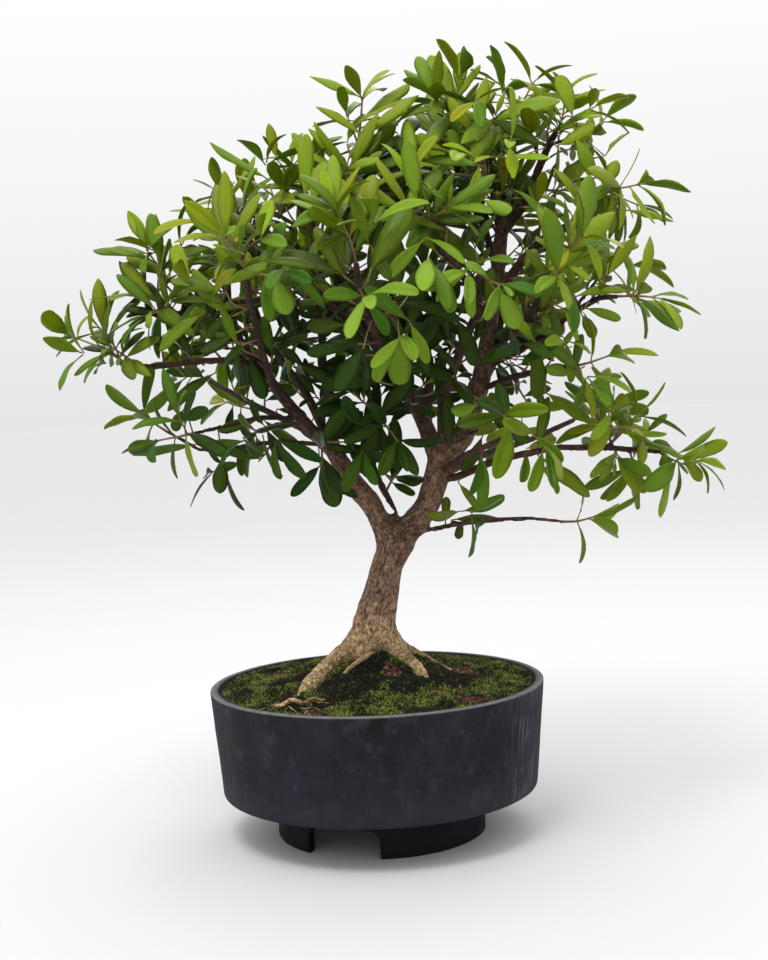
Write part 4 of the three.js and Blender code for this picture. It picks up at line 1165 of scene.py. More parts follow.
def fine_wood():
    """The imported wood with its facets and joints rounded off, as points and quads."""
    points, faces, _ = packed_mesh("wood")
    normals = surface_normals(points, faces)
    thin = smoothstep(3.4 * MM, 1.5 * MM, local_radius(points, normals, faces))
    points = points + normals * (TWIG_SWELL * thin)[:, None]
    rough = new_object("rough_wood", points, faces)
    remesh = rough.modifiers.new("remesh", "REMESH")
    remesh.mode = "VOXEL"
    remesh.voxel_size = BARK_VOXEL
    mesh = apply_modifiers(rough)
    points = points_of(mesh)
    edges = numbers_of(mesh.edges, "vertices", 2, np.int64)
    quads = numbers_of(mesh.loops, "vertex_index", 1, np.int64).reshape(-1, 4)
    bpy.data.objects.remove(rough)
    average = Averager(edges, len(points))
    normals = surface_normals(points, quads)
    girth = local_radius(points, normals, quads)
    for _ in range(GIRTH_ROUNDS):
        girth = average(girth)
    rounds = np.clip(ROUNDS_PER_GIRTH * (girth / MM) ** 2, LEAST_ROUNDS, MOST_ROUNDS)
    for turn in range(MOST_ROUNDS):
        moving = np.clip(rounds - turn, 0, 1)[:, None]
        points = points + (average(points) - points) * moving * RELAX
    normals = surface_normals(points, quads)
    lacking = TWIG_FILL * smoothstep(5 * MM, 0.8 * MM, girth)
    points += normals * (ALL_FILL + lacking)[:, None]
    return points, quads, edges, average, girth


def local_radius(points, normals, quads):
    """Half the wood's thickness under each point."""
    tree = BVHTree.FromPolygons(points.tolist(), quads.tolist())
    radius = np.empty(len(points))
    for i, (point, normal) in enumerate(zip(points, normals)):
        inward = Vector(-normal)
        hit = tree.ray_cast(Vector(point) + inward * 0.05 * MM, inward, THICKNESS_REACH)[3]
        radius[i] = (hit or USUAL_THICKNESS) / 2
    return np.clip(radius, *GIRTH_LIMITS)


def nearness(points, place, reach):
    """1 at a place given in mm from the middle of the rim, falling to 0 past its reach in mm."""
    offset = (points - RIM_MIDDLE - np.array(place) * MM) / (np.array(reach) * MM)
    return np.exp(-(offset**2).sum(axis=1))


def bark_relief(points, grain, girth):
    """Lumps, grooves, roughness and creases of the bark at each point."""
    lumps, cracks, fine, creases = (np.empty(len(points)) for _ in range(4))
    for i, size in enumerate(girth.tolist()):
        spot = Vector(points[i])
        lumps[i] = noise.noise(spot / (max(size, 2 * MM) * 1.7)) + 0.4 * noise.noise(spot / (5 * MM))
        run = Vector(grain[i])
        cracks[i] = abs(noise.noise(run)) + 0.5 * abs(noise.noise(run * 2.3))
        fine[i] = noise.noise(spot / (1.9 * MM))
        creases[i] = noise.noise(Vector((spot.x / (7 * MM), spot.y / (7 * MM), spot.z / (2.1 * MM))))
    return lumps, smoothstep(0.16, 0.0, cracks), fine, smoothstep(0.1, 0.45, np.abs(creases))


def build_wood():
    """The bark, and what the foliage needs of it: its surface, its thick limbs, points and girth."""
    points, quads, edges, average, girth = fine_wood()
    smooth_girth = girth.copy()
    normals = surface_normals(points, quads)
    flow = normals.copy()
    for _ in range(GRAIN_ROUNDS):
        flow = average(flow)
        smooth_girth = average(smooth_girth)
    flow = unit(flow)
    near = np.linalg.norm((points - RIM_MIDDLE) * [1, 1, 0.4], axis=1)
    sources = np.where(near < TRUNK_REACH)[0]
    along = walk_lengths(points, edges, sources)
    for _ in range(WALK_ROUNDS):
        along = average(along)
    low = points[:, 2] - (RIM_HEIGHT + 12 * MM)
    pale = smoothstep(*PALE_BARK, low)
    grain = flow * smooth_girth[:, None] / GRAIN_ACROSS
    grain = grain + (along / GRAIN_ALONG)[:, None] * np.array([0.6, 0.7, 0.4])
    lumps, groove, fine, creases = bark_relief(points, grain, smooth_girth)
    thick = smoothstep(1.6 * MM, 7 * MM, smooth_girth)
    height = 0.05 * smooth_girth * lumps * (0.4 + 0.6 * thick)
    height -= (CRACK_DEPTHS[0] + CRACK_DEPTHS[1] * thick) * groove
    height += 0.10 * MM * fine * (0.4 + thick)
    height += pale * thick * 0.35 * MM * lumps
    hollow = np.zeros(len(points))
    for place, reach, rise in TRUNK_FORMS:
        share = nearness(points, place, reach)
        height += rise * MM * share
        hollow += share * (rise < -2)
    wrinkled = nearness(points, *WRINKLED) * creases
    height -= WRINKLE_DEPTH * wrinkled
    points = points + normals * height[:, None]
    wood = new_object("bark", points, quads, [bark_material()])
    mesh = wood.data
    set_attribute(mesh, "grain", grain)
    set_attribute(mesh, "bark", np.column_stack([smooth_girth / MM, fine * 0.3 - groove, pale]))
    under = smoothstep(0.5, -0.5, normals[:, 2])
    damp = smoothstep(15 * MM, 1 * MM, low) * (0.45 + 0.55 * under)
    damp += hollow * pale * 0.9 + 0.9 * nearness(points, *MOSSY_FLANK)
    # where painted shade darkens the thin wood inside the crown
    crown = smoothstep(0.2, 0.27, points[:, 2]) * smoothstep(9 * MM, 4 * MM, smooth_girth)
    set_attribute(mesh, "place", np.column_stack([np.clip(damp, 0, 1), crown, wrinkled]))
    finished(wood, "bark", "wood")
    build_front_root(mesh.materials[0])
    limbs = quads[smooth_girth[quads[:, 0]] > LIMB_GIRTH]
    trees = [BVHTree.FromPolygons(points.tolist(), cells.tolist()) for cells in (quads, limbs)]
    return trees, points, normals, smooth_girth


def build_front_root(material):
    """The small bare root that leaves the hollow between the two front roots."""
    sides = 18
    path = smooth_path(np.array(FRONT_ROOT) * MM + RIM_MIDDLE, 12)
    radii = np.linspace(*FRONT_ROOT_RADIUS, len(path))
    points = tube(path, radii, sides)
    spine = np.repeat(path, sides, axis=0)
    for i, point in enumerate(points):
        place = Vector(point)
        swell = 0.2 * noise.noise(place / (2.6 * MM)) + 0.12 * noise.noise(place / (1.1 * MM))
        points[i] = spine[i] + (point - spine[i]) * (1 + swell)
    root = new_object("front_root", points, loft_faces(len(path), sides), [material])
    count = len(points)
    set_attribute(root.data, "grain", points / (3 * MM))
    set_attribute(root.data, "bark", np.tile([7.0, 0.0, 1.0], (count, 1)))
    set_attribute(root.data, "place", np.tile([0.4, 0.0, 0.0], (count, 1)))
    finished(root, "bark")


# ================= foliage =================


class Spray:
    """What a packed spray says: its leaves' ribs and its stems' courses."""

    def __init__(self, node):
        self.node = node
        points, _, edges = packed_mesh(node)
        self.points = points
        links = [set() for _ in points]
        for a, b in edges.tolist():
            links[a].add(b)
            links[b].add(a)
        self.links = links
        taken = set()
        self.leaves = []
        for tip, around in enumerate(links):
            if len(around) != 4:
                continue
            section = self.section(sorted(around))
            if section is None:
                continue
            upper = set(around)
            lower = self.next_ring(upper, {tip})
            root = self.next_ring(lower, upper)
            ribs = [points[sorted(ring)].mean(axis=0) for ring in (root, lower, upper)]
            across, width = section
            self.leaves.append(Leaf.through([*ribs, points[tip]], across, width / 2 / SECTION_SHARE))
            taken |= {tip} | upper | lower
        self.stems = self.find_stems(taken)

    def section(self, corners):
        """Long direction and length of four points that form a leaf's thin section."""
        spots = self.points[corners]
        lengths = np.linalg.norm(spots[:, None] - spots[None], axis=2)[0, 1:]
        short, long, diagonal = np.sort(lengths)
        if not SECTION_THICKNESS[0] < short < SECTION_THICKNESS[1] or long < SECTION_WIDTH:
            return None
        if abs(diagonal**2 - short**2 - long**2) > 1e-7:
            return None
        partner = 1 + int(np.argsort(lengths)[1])
        return unit(spots[partner] - spots[0]), long

    def next_ring(self, ring, behind):
        return set().union(*(self.links[p] for p in ring)) - ring - behind

    def find_stems(self, taken):
        """The stems as lists of places from where each leaves the wood or its parent to its tip."""
        points, links = self.points, self.links
        left = [i for i in range(len(points)) if i not in taken]
        cluster = {}
        groups = []
        for seed in left:
            if seed in cluster:
                continue
            cluster[seed] = len(groups)
            group, queue = [], [seed]
            while queue:
                here = queue.pop()
                group.append(here)
                for there in links[here]:
                    close = np.linalg.norm(points[here] - points[there]) < LONGEST_RING_EDGE
                    if there not in cluster and there not in taken and close:
                        cluster[there] = len(groups)
                        queue.append(there)
            groups.append(group)
        near = [
            {cluster[b] for a in group for b in links[a] if b in cluster} - {k}
            for k, group in enumerate(groups)
        ]
        centres = [points[group].mean(axis=0) for group in groups]
        stems = []
        for upper, group in enumerate(groups):
            if len(group) != 8 or len(near[upper]) != 1:
                continue
            lower = next(iter(near[upper]))
            route = [centres[upper], centres[lower]]
            rest = near[lower] - {upper}
            if len(rest) == 1:
                fork = next(iter(rest))
                route.append(centres[fork])
                beyond = [k for k in near[fork] if k != lower and len(groups[k]) == 4]
                child = False
                if beyond:
                    route.append(centres[beyond[0]])
            else:
                child = True
                touching = {b for a in groups[lower] for b in links[a] if cluster.get(b) in rest}
                route.append(points[sorted(touching)].mean(axis=0))
            stems.append((np.array(route[::-1]), child))
        return stems


class Leaf:
    """A leaf's rib, the direction across it at each place and its half width."""

    def __init__(self, rib, across, half):
        self.rib = rib
        self.across = across
        self.half = half
        self.youth_and_light = 0.5
        self.light = 0.5
        self.blunt = None  # drawn when the blade is made, unless it is set

    @staticmethod
    def through(places, across, half):
        """The leaf whose rib passes a packed leaf's root, sections and tip."""
        places = np.array(places)
        t = LEAF_PLACES
        rib = np.zeros((len(t), 3))
        for i, place in enumerate(places):
            weight = np.ones(len(t))
            for k, other in enumerate(RIB_PLACES):
                if k != i:
                    weight *= (t - other) / (RIB_PLACES[i] - other)
            rib += weight[:, None] * place
        chord = places[3] - places[0]
        bow = places[1] - places[0] - chord * 0.4
        up = np.cross(chord, across)
        if np.dot(up, bow) < 0:
            across = -across
        return Leaf(rib, across, half)

    @staticmethod
    def grown(base, direction, face, length, half, bend):
        """A new leaf from a base, bending away from the way its face looks."""
        direction = unit(direction)
        face = unit(face - direction * np.dot(face, direction))
        t = LEAF_PLACES[:, None]
        turn = bend * t
        safe = max(bend, 1e-3)
        rib = base + direction * length / safe * np.sin(turn) + face * length / safe * (np.cos(turn) - 1)
        return Leaf(rib, -np.cross(face, direction), half)

    def samples(self):
        """Places spread over the blade beyond its foot, for clearances."""
        spots = []
        for k in range(4, len(self.rib)):
            for side in (-0.8, 0, 0.8):
                spots.append(self.rib[k] + self.across * side * self.half * LEAF_OUTLINE[k])
        return spots


def leaf_outline(t, blunt):
    """Share of the full half width at each place along a leaf, pointed at 0 and blunt at 1."""
    s = np.clip((t - PETIOLE_END) / (1 - PETIOLE_END), 0, 1)
    widest = 0.5 + 0.1 * blunt
    rise = np.sin(math.pi / 2 * np.clip(s / widest, 0, 1)) ** 0.9
    past = np.clip((s - widest) / (1 - widest), 0, 1)
    fall = (1 - past ** (1.4 + 1.2 * blunt)) ** (0.9 - 0.36 * blunt)
    return np.where(s < widest, rise, fall)


LEAF_PLACES = np.array([-0.02, 0.03, 0.09, 0.17, 0.27, 0.39, 0.51, 0.63, 0.74, 0.84, 0.92, 0.975, 1.0])
LEAF_OUTLINE = leaf_outline(LEAF_PLACES, 1)
SECTION_TOP = [-1, -0.62, -0.17, 0, 0.17, 0.62, 1]
SECTION_UNDER = [0.55, 0, -0.55]
SECTION = np.array(SECTION_TOP + SECTION_UNDER)
SECTION_SIDE = np.repeat([1, 0], [len(SECTION_TOP), len(SECTION_UNDER)])


class LeafPile:
    """Leaves and stems that become one mesh."""

    def __init__(self):
        self.leaves, self.stems = [], []
        self.points, self.faces, self.slots = [], [], []
        self.blade, self.tint, self.reach = [], [], []
        self.count = 0

    def add(self, points, faces, blade, tint, reach, slot):
        self.points.append(points)
        self.faces.extend(tuple(self.count + k for k in face) for face in faces)
        self.slots.extend([slot] * len(faces))
        self.blade.append(blade)
        self.tint.append(tint)
        self.reach.append(reach)
        self.count += len(points)

    def make_leaf(self, leaf, rng):
        t = LEAF_PLACES
        tangents = unit(np.gradient(leaf.rib, axis=0))
        across = unit(leaf.across - tangents * (tangents @ leaf.across)[:, None])
        up = np.cross(tangents, across)
        length = np.linalg.norm(np.diff(leaf.rib, axis=0), axis=1).sum()
        blunt = leaf.blunt
        if blunt is None:
            blunt = (leaf.half / length - 0.06) / 0.08 + rng.normal(0, 0.25)
            blunt = np.clip(blunt - 0.35 * smoothstep(0.27, 0.4, leaf.rib[6][2]), 0.15, 1)
        outline = leaf_outline(t, blunt)
        fold = np.clip(abs(rng.normal(0.38, 0.22)), 0.02, 0.8)
        twist = rng.normal(0, 0.2)
        waves = rng.uniform(1.2, 2.6) * TURN / 2
        phase = rng.uniform(0, TURN, 2)
        wave = rng.uniform(0.01, 0.09) * leaf.half
        lobes = 1 + 0.05 * np.sin(t * waves * 1.7 + phase[0])
        rings = []
        for k in range(len(t) - 1):
            share = outline[k]
            stalk = float(smoothstep(0.17, 0.06, t[k]))
            half = max(leaf.half * share * lobes[k], STALK_RADIUS)
            swing = twist * (t[k] - 0.3)
            side = across[k] * math.cos(swing) + up[k] * math.sin(swing)
            face = up[k] * math.cos(swing) - across[k] * math.sin(swing)
            s = SECTION
            thin = LEAF_THICKNESS * (1 - stalk) + STALK_RADIUS * stalk
            lens = np.sqrt(np.clip(1 - s * s, 0, 1))
            upper = thin * lens * np.where(SECTION_SIDE > 0, 1, -1)
            groove = np.exp(-((s / 0.1) ** 2)) * (1 - stalk) * (1 - 0.6 * t[k])
            upper = upper - groove * np.where(SECTION_SIDE > 0, 0.20, 0.30) * MM
            lift = fold * (np.abs(s) - 0.35 * s * s) * half * (1 - stalk)
            ripple = wave * s * np.abs(s) * np.sin(waves * t[k] * 2 + phase[0] + (s < 0) * phase[1])
            rise = upper + lift + ripple * (1 - stalk)
            rings.append(leaf.rib[k] + np.outer(s * half, side) + np.outer(rise, face))
        points = np.vstack([*rings, leaf.rib[-1:]])
        size = len(SECTION)
        faces = loft_faces(len(rings), size, caps=False)
        last = (len(rings) - 1) * size
        faces.append(tuple(reversed(range(size))))
        faces.extend((last + k, last + (k + 1) % size, last + size) for k in range(size))
        along = np.repeat(t[:-1], size)
        blade = np.column_stack([np.tile(SECTION, len(rings)), along, np.tile(SECTION_SIDE, len(rings))])
        blade = np.vstack([blade, [0, 1, 1]])
        tint = np.tile([leaf.youth_and_light, leaf.light, rng.uniform()], (len(points), 1))
        self.add(points, faces, blade, tint, np.zeros(len(points)), 0)

    def make_stem(self, route, thick, thin, sides, rng):
        path = smooth_path(route, 5)
        reach = np.linspace(0, 1, len(path))
        radii = thick + (thin - thick) * reach
        points = tube(path, radii * (1 + 0.06 * np.sin(reach * 40 + rng.uniform(0, 6))), sides)
        faces = loft_faces(len(path), sides)
        empty = np.zeros((len(points), 3))
        self.add(points, faces, empty, empty, np.repeat(reach, sides), 1)

    def build(self, name, slot, rng, *nodes):
        for leaf in self.leaves:
            self.make_leaf(leaf, rng)
        for route, thick, thin, sides in self.stems:
            self.make_stem(route, thick, thin, sides, rng)
        piece = new_object(name, np.vstack(self.points), self.faces, LEAF_MATERIALS)
        mesh = piece.data
        mesh.polygons.foreach_set("material_index", self.slots)
        set_attribute(mesh, "blade", np.vstack(self.blade))
        set_attribute(mesh, "tint", np.vstack(self.tint))
        set_attribute(mesh, "reach", np.concatenate(self.reach))
        return finished(piece, slot, *nodes)


class Crowd:
    """Places that are taken, by cells, for keeping new leaves clear of the others."""

    def __init__(self, spacing):
        self.spacing = spacing
        self.cells = {}

    def cell(self, spot):
        return tuple(int(v // self.spacing) for v in spot)

    def add(self, spots):
        for spot in spots:
            self.cells.setdefault(self.cell(spot), []).append(spot)

    def free(self, spots):
        limit = self.spacing**2
        for spot in spots:
            x, y, z = self.cell(spot)
            for dx in (-1, 0, 1):
                for dy in (-1, 0, 1):
                    for dz in (-1, 0, 1):
                        for other in self.cells.get((x + dx, y + dy, z + dz), ()):
                            gap = spot - other
                            if gap @ gap < limit:
                                return False
        return True


def youth_and_light_at(place, light, rng):
    """How yellow a leaf is, partly by its youth and partly as painted light: more so in the light, high up
    and to the right, most of all low there.
    """
    x, _, z = (place - CROWN_MIDDLE - POT_FOOT) / CROWN_REACH
    value = 0.05 + 0.6 * light + 0.27 * smoothstep(-0.2, 1.0, z) + 0.14 * smoothstep(-0.2, 0.9, x)
    value += 0.25 * smoothstep(0.3, 0.8, x) * smoothstep(0.2, -0.2, z)
    return float(np.clip(value + rng.normal(0, 0.12), 0, 1))


def whorl(place, axis, count, length, rng, spread=0.95):
    """New leaves round a stem that runs along axis, as they stand round one of its nodes."""
    side = across_of(axis)
    first = rng.uniform(0, TURN)
    outward = unit((place - CROWN) * [1, 1, 0.8])
    leaves = []
    for k in range(count):
        out = turned(side, axis, first + k * TURN / count + rng.normal(0, 0.3))
        size = length * rng.uniform(0.75, 1.2)
        lean = spread * rng.uniform(0.5, 1.35)
        rising = 0.35 * smoothstep(0.28, 0.42, place[2]) + rng.normal(0.05, 0.15)
        direction = unit(out * math.sin(lean) + axis * math.cos(lean) + UP * rising)
        face = outward * 0.5 + UP * 0.45 + axis * 0.45 - out * 0.3 + rng.normal(0, 0.2, 3)
        face = face + np.array([0, 0.55 if place[1] > CROWN[1] + 0.03 else -0.75, 0])
        half = size * rng.uniform(*LEAF_HALVES)
        start = place + out * 0.45 * MM + axis * rng.normal(0, 1.3) * MM
        leaves.append(Leaf.grown(start, direction, face, size, half, rng.uniform(0.1, 1.25)))
    return leaves


class Outline:
    """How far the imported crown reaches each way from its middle."""

    def __init__(self, spots):
        offsets = np.array(spots) - CROWN
        self.reach = np.linalg.norm(offsets, axis=1)
        self.ways = offsets / self.reach[:, None]

    def holds(self, spot):
        offset = spot - CROWN
        distance = np.linalg.norm(offset)
        near = self.ways @ (offset / max(distance, 1e-9)) > OUTLINE_CONE
        return bool(near.any() and distance < self.reach[near].max() + OUTLINE_ROOM)


def inside_box(spots):
    low, high = np.array(WHOLE[0]), np.array(WHOLE[1])
    return bool(np.all(spots > low) and np.all(spots < high))


class Foliage:
    """All the leaves, kept clear of one another as they are added."""

    def __init__(self, wood, limbs, leaves):
        self.wood = wood
        self.limbs = limbs
        self.crowd = Crowd(LEAF_CLEARANCE)
        for leaf in leaves:
            self.crowd.add(leaf.samples())
        self.outline = Outline([spot for leaf in leaves for spot in leaf.samples()])

    def try_leaf(self, leaf, pile, rng, anywhere=False):
        """Adds a leaf to a pile where it is wanted and clear of the rest, and says whether it did."""
        spots = leaf.samples()
        if not anywhere and not self.wanted(leaf.rib[-1], rng):
            return False
        if not inside_box(leaf.rib) or not self.crowd.free(spots):
            return False
        for spot in spots[1::3]:
            if self.wood.find_nearest(Vector(spot), WOOD_CLEARANCE)[0] is not None:
                return False
        if self.hides_limb(leaf) and rng.uniform() < LIMB_SHOWS:
            return False
        pile.leaves.append(leaf)
        self.crowd.add(spots)
        return True

    def place_single(self, root, tip, half, bend, carriers, pile):
        """A leaf between chosen places, on a stalk from the nearest stem or twig."""
        course = tip - root
        face = unit(FRONTWARD - course * np.dot(FRONTWARD, course) / np.dot(course, course))
        direction = unit(course) * math.cos(bend / 2) + face * math.sin(bend / 2)
        length = np.linalg.norm(course) * (bend / 2) / math.sin(bend / 2)
        for shift in SINGLE_SHIFTS:
            start = root + [0, shift * MM, 0]
            leaf = Leaf.grown(start, direction, face, length, half, bend)
            spots = leaf.samples()
            if not inside_box(leaf.rib) or not self.crowd.free(spots):
                continue
            foot = carriers[np.argmin(np.linalg.norm(carriers - start, axis=1))]
            if np.linalg.norm(start - foot) > 0.5 * MM:
                knee = (foot + start) / 2 + 0.08 * np.linalg.norm(start - foot) * UP
                pile.stems.append((np.array([foot, knee, start]), *TWIGLET_RADII, 6))
            pile.leaves.append(leaf)
            self.crowd.add(spots)
            return leaf
        return None

    def hides_limb(self, leaf):
        """Whether a leaf stands before a thick limb, all of which show from the front."""
        back = Vector((0, 1, 0))
        return any(self.limbs.ray_cast(Vector(leaf.rib[k]), back, 90 * MM)[0] for k in (4, 8, 12))

    def wanted(self, tip, rng):
        """Whether a leaf may end here: fewer do low down, and none in the gaps of the crown."""
        x, y, z = (tip - RIM_MIDDLE) / MM
        gap = any(low < x < high and bottom < z < top for low, high, bottom, top in SPARSE_ZONES)
        gap = gap or (y < FRONT_GAP[0] and z < FRONT_GAP[1])
        least = 0.3 if y > 10 else 0.1
        fill = least + (1 - least) * smoothstep(*THIN_CROWN, tip[2])
        return not gap and rng.uniform() < fill and self.outline.holds(tip)

    def fill_stem(self, route, pile, rng, anywhere=False):
        """More leaves along a stem, at its nodes and between them."""
        for number in range(1, len(route)):
            a, b = route[number - 1], route[number]
            axis = unit(b - a)
            gap = np.linalg.norm(b - a)
            for share in np.arange(1, 0.2, -NODE_SPACING / gap):
                for _ in range(PAIR_TRIES):
                    node = a + (b - a) * share
                    size = rng.uniform(*LEAF_LENGTHS) + 5 * smoothstep(0.28, 0.4, node[2])
                    for leaf in whorl(node, axis, 2, size * MM, rng):
                        self.try_leaf(leaf, pile, rng, anywhere)
        axis = unit(route[-1] - route[-2])
        end = route[-1] + axis * 0.6 * MM
        for leaf in whorl(end, axis, 4, rng.uniform(*TIP_LENGTHS), rng, spread=0.5):
            self.try_leaf(leaf, pile, rng, anywhere)

    def grow_spur(self, place, normal, pile, rng):
        """A short shoot on older wood with a few whorls of leaves."""
        outward = unit(place - CROWN)
        axis = unit(normal * 0.7 + outward * 0.7 + UP * 0.35 + rng.normal(0, 0.3, 3))
        length = rng.uniform(*SPUR_LENGTHS) * MM
        bend = axis + rng.normal(0, 0.25, 3) + UP * 0.2
        tip = place + axis * length * 0.5 + unit(bend) * length * 0.5
        route = np.array([place - normal * 0.8 * MM, place + axis * length * 0.5, tip])
        if not inside_box(route) or rng.uniform() > smoothstep(*THIN_CROWN, place[2]) + 0.2:
            return
        before = len(pile.leaves)
        end = unit(route[2] - route[1])
        size = rng.uniform(*SPUR_LEAVES) * MM
        places = [(tip, 0.75, 1.0), (tip - end * 2 * MM, 1.05, 1.0), (tip + end * MM, 0.35, 0.55)]
        if length > 9 * MM:
            places.append((route[1], 1.1, 0.9))
        for node, spread, share in places:
            for leaf in whorl(node, end, 2, size * share, rng, spread=spread):
                self.try_leaf(leaf, pile, rng)
        if len(pile.leaves) > before:
            pile.stems.append((route, *SPUR_RADII, 6))

    def grow_shoot(self, tip, wood_points, pile, rng):
        """A longer shoot from the nearest wood below to a chosen tip, with whorls all along."""
        offsets = wood_points - tip
        cost = np.linalg.norm(offsets, axis=1) + 1.2 * np.clip(offsets[:, 2], 0, None)
        foot = wood_points[np.argmin(cost)]
        reach = np.linalg.norm(tip - foot)
        knee = foot + (tip - foot) * 0.45 + unit(rng.normal(0, 1, 3)) * 0.07 * reach
        route = smooth_path([foot, knee, tip], max(2, round(reach / (18 * MM))))
        pile.stems.append((route, *SHOOT_RADII, 8))
        self.fill_stem(route[len(route) // 3 :], pile, rng, anywhere=True)


def light_leaves(leaves, wood):
    """Sets the painted light and shade of each leaf, by the sky that it sees and where it stands, and with
    that how yellow it is.
    """
    points, faces = [], []
    for leaf in leaves:
        start = len(points)
        for k in range(2, len(leaf.rib), 2):
            edge = leaf.across * leaf.half * LEAF_OUTLINE[k]
            points += [leaf.rib[k] - edge, leaf.rib[k] + edge]
        rows = (len(points) - start) // 2 - 1
        corners = [start + 2 * row for row in range(rows)]
        faces += [[k, k + 1, k + 3, k + 2] for k in corners]
    tree = BVHTree.FromPolygons([p.tolist() for p in points], faces)
    rng = np.random.default_rng(LIGHT_SEED)
    for leaf in leaves:
        open_ways = 0
        for k in (4, 6, 8):
            for _ in range(SKY_RAYS):
                way = Vector(unit(rng.normal(0, 1, 3) + SKY_MIDDLE))
                start = Vector(leaf.rib[k]) + way * 2.5 * MM
                open_ways += not any(shape.ray_cast(start, way, SKY_REACH)[0] for shape in (tree, wood))
        place = leaf.rib[6]
        # painted shade inside the crown and on the low left, painted light to the right
        inside = math.exp(-((((place - SHADE_MIDDLE) / SHADE_REACH) ** 2).sum()))
        rightward = smoothstep(*RIGHT_LIGHT, place[0] - POT_AXIS[0])
        under = smoothstep(*LOW_SHADE, place[2]) * smoothstep(*LEFT_SHADE, place[0] - POT_AXIS[0])
        leaf.light = min(1, open_ways / (3 * SKY_RAYS) * (1.15 - 1.1 * inside) + 0.45 * rightward)
        leaf.light *= 1 - 0.5 * under
        leaf.youth_and_light = youth_and_light_at(place, leaf.light, rng)
        # a few leaves painted as lit through from behind, wherever they stand
        if rng.uniform() < BRIGHT_SHARE * (1 - under):
            leaf.youth_and_light, leaf.light = BACKLIT_TINT


def place_singles(foliage, carriers, pile):
    """Adds the leaves that stand out in the photo, and gives back the bright ones."""
    placed = []
    for number, (root, tip, half) in enumerate(SINGLE_LEAVES + BRIGHT_LEAVES):
        ends = [np.array(place) * MM + RIM_MIDDLE for place in (root, tip)]
        bend = SINGLE_BENDS[number % len(SINGLE_BENDS)]
        placed.append(foliage.place_single(*ends, half * MM, bend, carriers, pile))
    return [leaf for leaf in placed[len(SINGLE_LEAVES) :] if leaf]


def dressed_spray(foliage, spray, rng):
    """A packed spray's leaves and stems, the stems let into the wood, with more leaves along them."""
    pile = LeafPile()
    pile.leaves.extend(spray.leaves)
    for route, child in spray.stems:
        back = route[0] - unit(route[1] - route[0]) * STEM_SUNK[child] * MM
        end = route[-1] + unit(route[-1] - route[-2]) * STEM_PAST * MM
        course = np.vstack([back, route, end])
        pile.stems.append((course, STEM_THICK[child] * MM, STEM_THIN, 8))
        foliage.fill_stem(route, pile, rng)
    return pile


def grow_spurs(foliage, points, normals, piles, rng):
    """Spurs on the thin wood, in random order and spread evenly, shared out among the piles."""
    taken = Crowd(SPUR_SPACING)
    for pick in rng.permutation(len(points)):
        place = points[pick]
        if taken.free([place]):
            taken.add([place])
            foliage.grow_spur(place, normals[pick], piles[int(rng.integers(len(piles)))], rng)


def build_foliage(wood, limbs, wood_points, wood_normals, girth):
    names = sorted(name for name in frame["nodes"] if name.startswith("spray_"))
    sprays = [Spray(name) for name in names]
    foliage = Foliage(wood, limbs, [leaf for spray in sprays for leaf in spray.leaves])
    shoots = LeafPile()
    stems = [smooth_path(route, 8) for spray in sprays for route, _ in spray.stems]
    bright = place_singles(foliage, np.vstack([*stems, wood_points[girth < SPUR_GIRTH]]), shoots)
    bright += [leaf for spray in sprays if "hanging" in spray.node for leaf in spray.leaves]
    piles = {}
    for number, spray in enumerate(sprays):
        rng = np.random.default_rng(SPRAY_SEEDS + number)
        piles[spray.node] = dressed_spray(foliage, spray, rng)
    rng = np.random.default_rng(GROWTH_SEED)
    piles["further_shoots"] = shoots
    for tip in EXTRA_TIPS:
        foliage.grow_shoot(np.array(tip) * MM + RIM_MIDDLE, wood_points, shoots, rng)
    spurs = [piles.setdefault(f"spurs_{number + 1}", LeafPile()) for number in range(SPUR_PIECES)]
    thin = (wood_points[:, 2] > SPUR_FLOOR) & (girth < SPUR_GIRTH)
    grow_spurs(foliage, wood_points[thin], wood_normals[thin], spurs, rng)
    light_leaves([leaf for pile in piles.values() for leaf in pile.leaves], wood)
    # the round leaves get painted light, up to a painted glow
    for leaf in bright:
        leaf.youth_and_light, leaf.light = BRIGHT_TINT
        leaf.blunt = 1.0
    for number, (name, pile) in enumerate(piles.items()):
        nodes = [name] if name in names else []
        rng = np.random.default_rng(BLADE_SEEDS + number)
        pile.build(name.replace("spray", "leaves"), "leaf", rng, *nodes)


# ================= stage =================


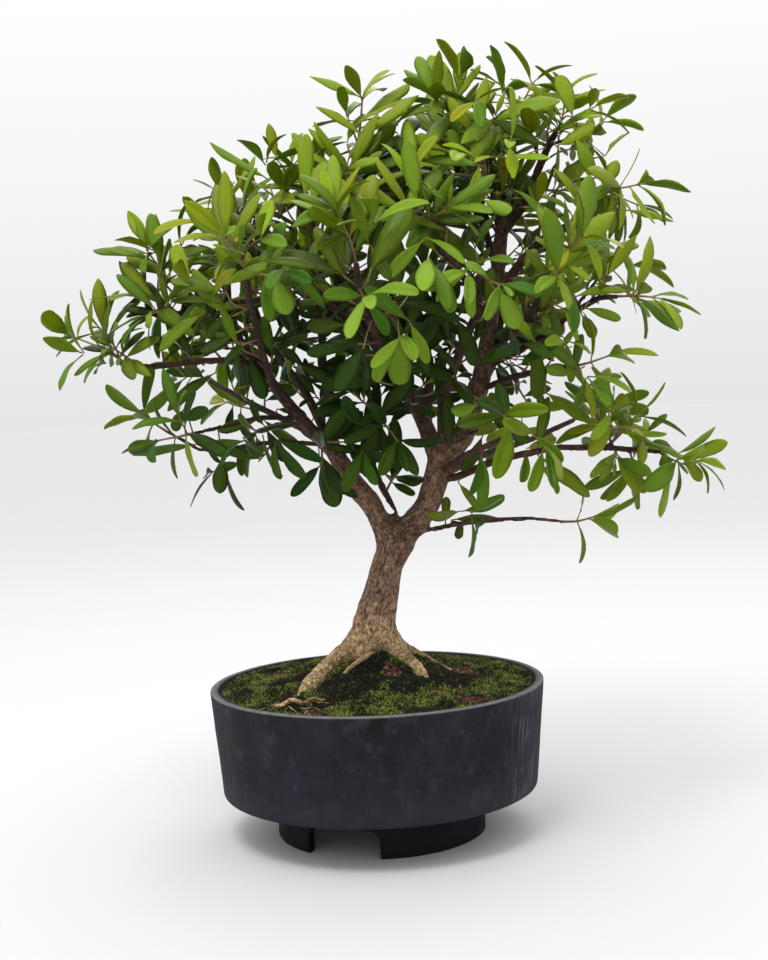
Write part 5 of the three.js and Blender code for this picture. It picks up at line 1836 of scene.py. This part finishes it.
def build_stage():
    half = FLOOR_SIZE / 2
    corners = [(-half, -half, 0), (half, -half, 0), (half, half, 0), (-half, half, 0)]
    floor = new_object("floor", corners, [(0, 1, 2, 3)], [floor_material()], smooth=False)
    world = bpy.data.worlds.new("studio")
    bpy.context.scene.world = world
    world.use_nodes = True
    tree = world.node_tree
    sky = tree.nodes["Background"]
    sky.inputs["Color"].default_value = (1.0, 1.0, 1.0, 1)
    way = tree.nodes.new("ShaderNodeTexCoord")
    parts = tree.nodes.new("ShaderNodeSeparateXYZ")
    rise = tree.nodes.new("ShaderNodeMapRange")
    rise.inputs["To Min"].default_value = HORIZON_LIGHT
    rise.inputs["To Max"].default_value = OVERHEAD_LIGHT
    tree.links.new(way.outputs["Generated"], parts.inputs[0])
    tree.links.new(parts.outputs["Z"], rise.inputs["Value"])
    tree.links.new(rise.outputs["Result"], sky.inputs["Strength"])
    for name, place, size, power in LAMPS:
        light = bpy.data.lights.new(name, "AREA")
        light.shape = "DISK"
        light.size = size
        light.energy = power
        lamp = bpy.data.objects.new(name, light)
        lamp.location = place
        aim = LAMP_AIM - lamp.location
        lamp.rotation_euler = aim.to_track_quat("-Z", "Y").to_euler()
        bpy.context.scene.collection.objects.link(lamp)


def build_camera():
    upright = Vector(UP)
    right = Vector((math.cos(CAMERA_YAW), -math.sin(CAMERA_YAW), 0))
    ahead = Vector((math.sin(CAMERA_YAW), math.cos(CAMERA_YAW), 0))
    forward = ahead * math.cos(CAMERA_PITCH) - upright * math.sin(CAMERA_PITCH)
    up = ahead * math.sin(CAMERA_PITCH) + upright * math.cos(CAMERA_PITCH)
    side = right * math.cos(CAMERA_ROLL) - up * math.sin(CAMERA_ROLL)
    top = right * math.sin(CAMERA_ROLL) + up * math.cos(CAMERA_ROLL)
    camera = bpy.data.cameras.new("camera")
    camera.sensor_width = SENSOR
    camera.lens = SENSOR * FOCAL_PIXELS / PHOTO_HEIGHT
    camera.clip_start = 0.01
    viewer = bpy.data.objects.new("camera", camera)
    turn = Matrix((side, top, -forward)).transposed().to_4x4()
    place = Vector(RIM_MIDDLE) + CAMERA_FROM_RIM
    viewer.matrix_world = Matrix.Translation(place) @ turn
    bpy.context.scene.collection.objects.link(viewer)
    bpy.context.scene.camera = viewer


# ================= the whole =================

for leftover in list(bpy.data.objects):
    bpy.data.objects.remove(leftover)
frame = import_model()
WHOLE = [list(corner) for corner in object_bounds()]
pot_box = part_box("pot")
POT_AXIS = np.array([(pot_box[0][k] + pot_box[1][k]) / 2 for k in range(2)])
RIM_MIDDLE = np.array([*POT_AXIS, RIM_HEIGHT])
POT_FOOT = np.array([*POT_AXIS, 0])
CROWN = POT_FOOT + CROWN_MIDDLE
bpy.context.scene.view_settings.view_transform = "Standard"
LEAF_MATERIALS = [leaf_material(), shoot_material()]

build_stage()
build_camera()
ground = Ground()
build_pot()
(bark_tree, limb_tree), bark_points, bark_normals, bark_girth = build_wood()
build_soil(ground)
build_moss(ground, bark_tree)
build_grit(ground, bark_tree)
build_loose_root(ground)
build_foliage(bark_tree, limb_tree, bark_points, bark_normals, bark_girth)
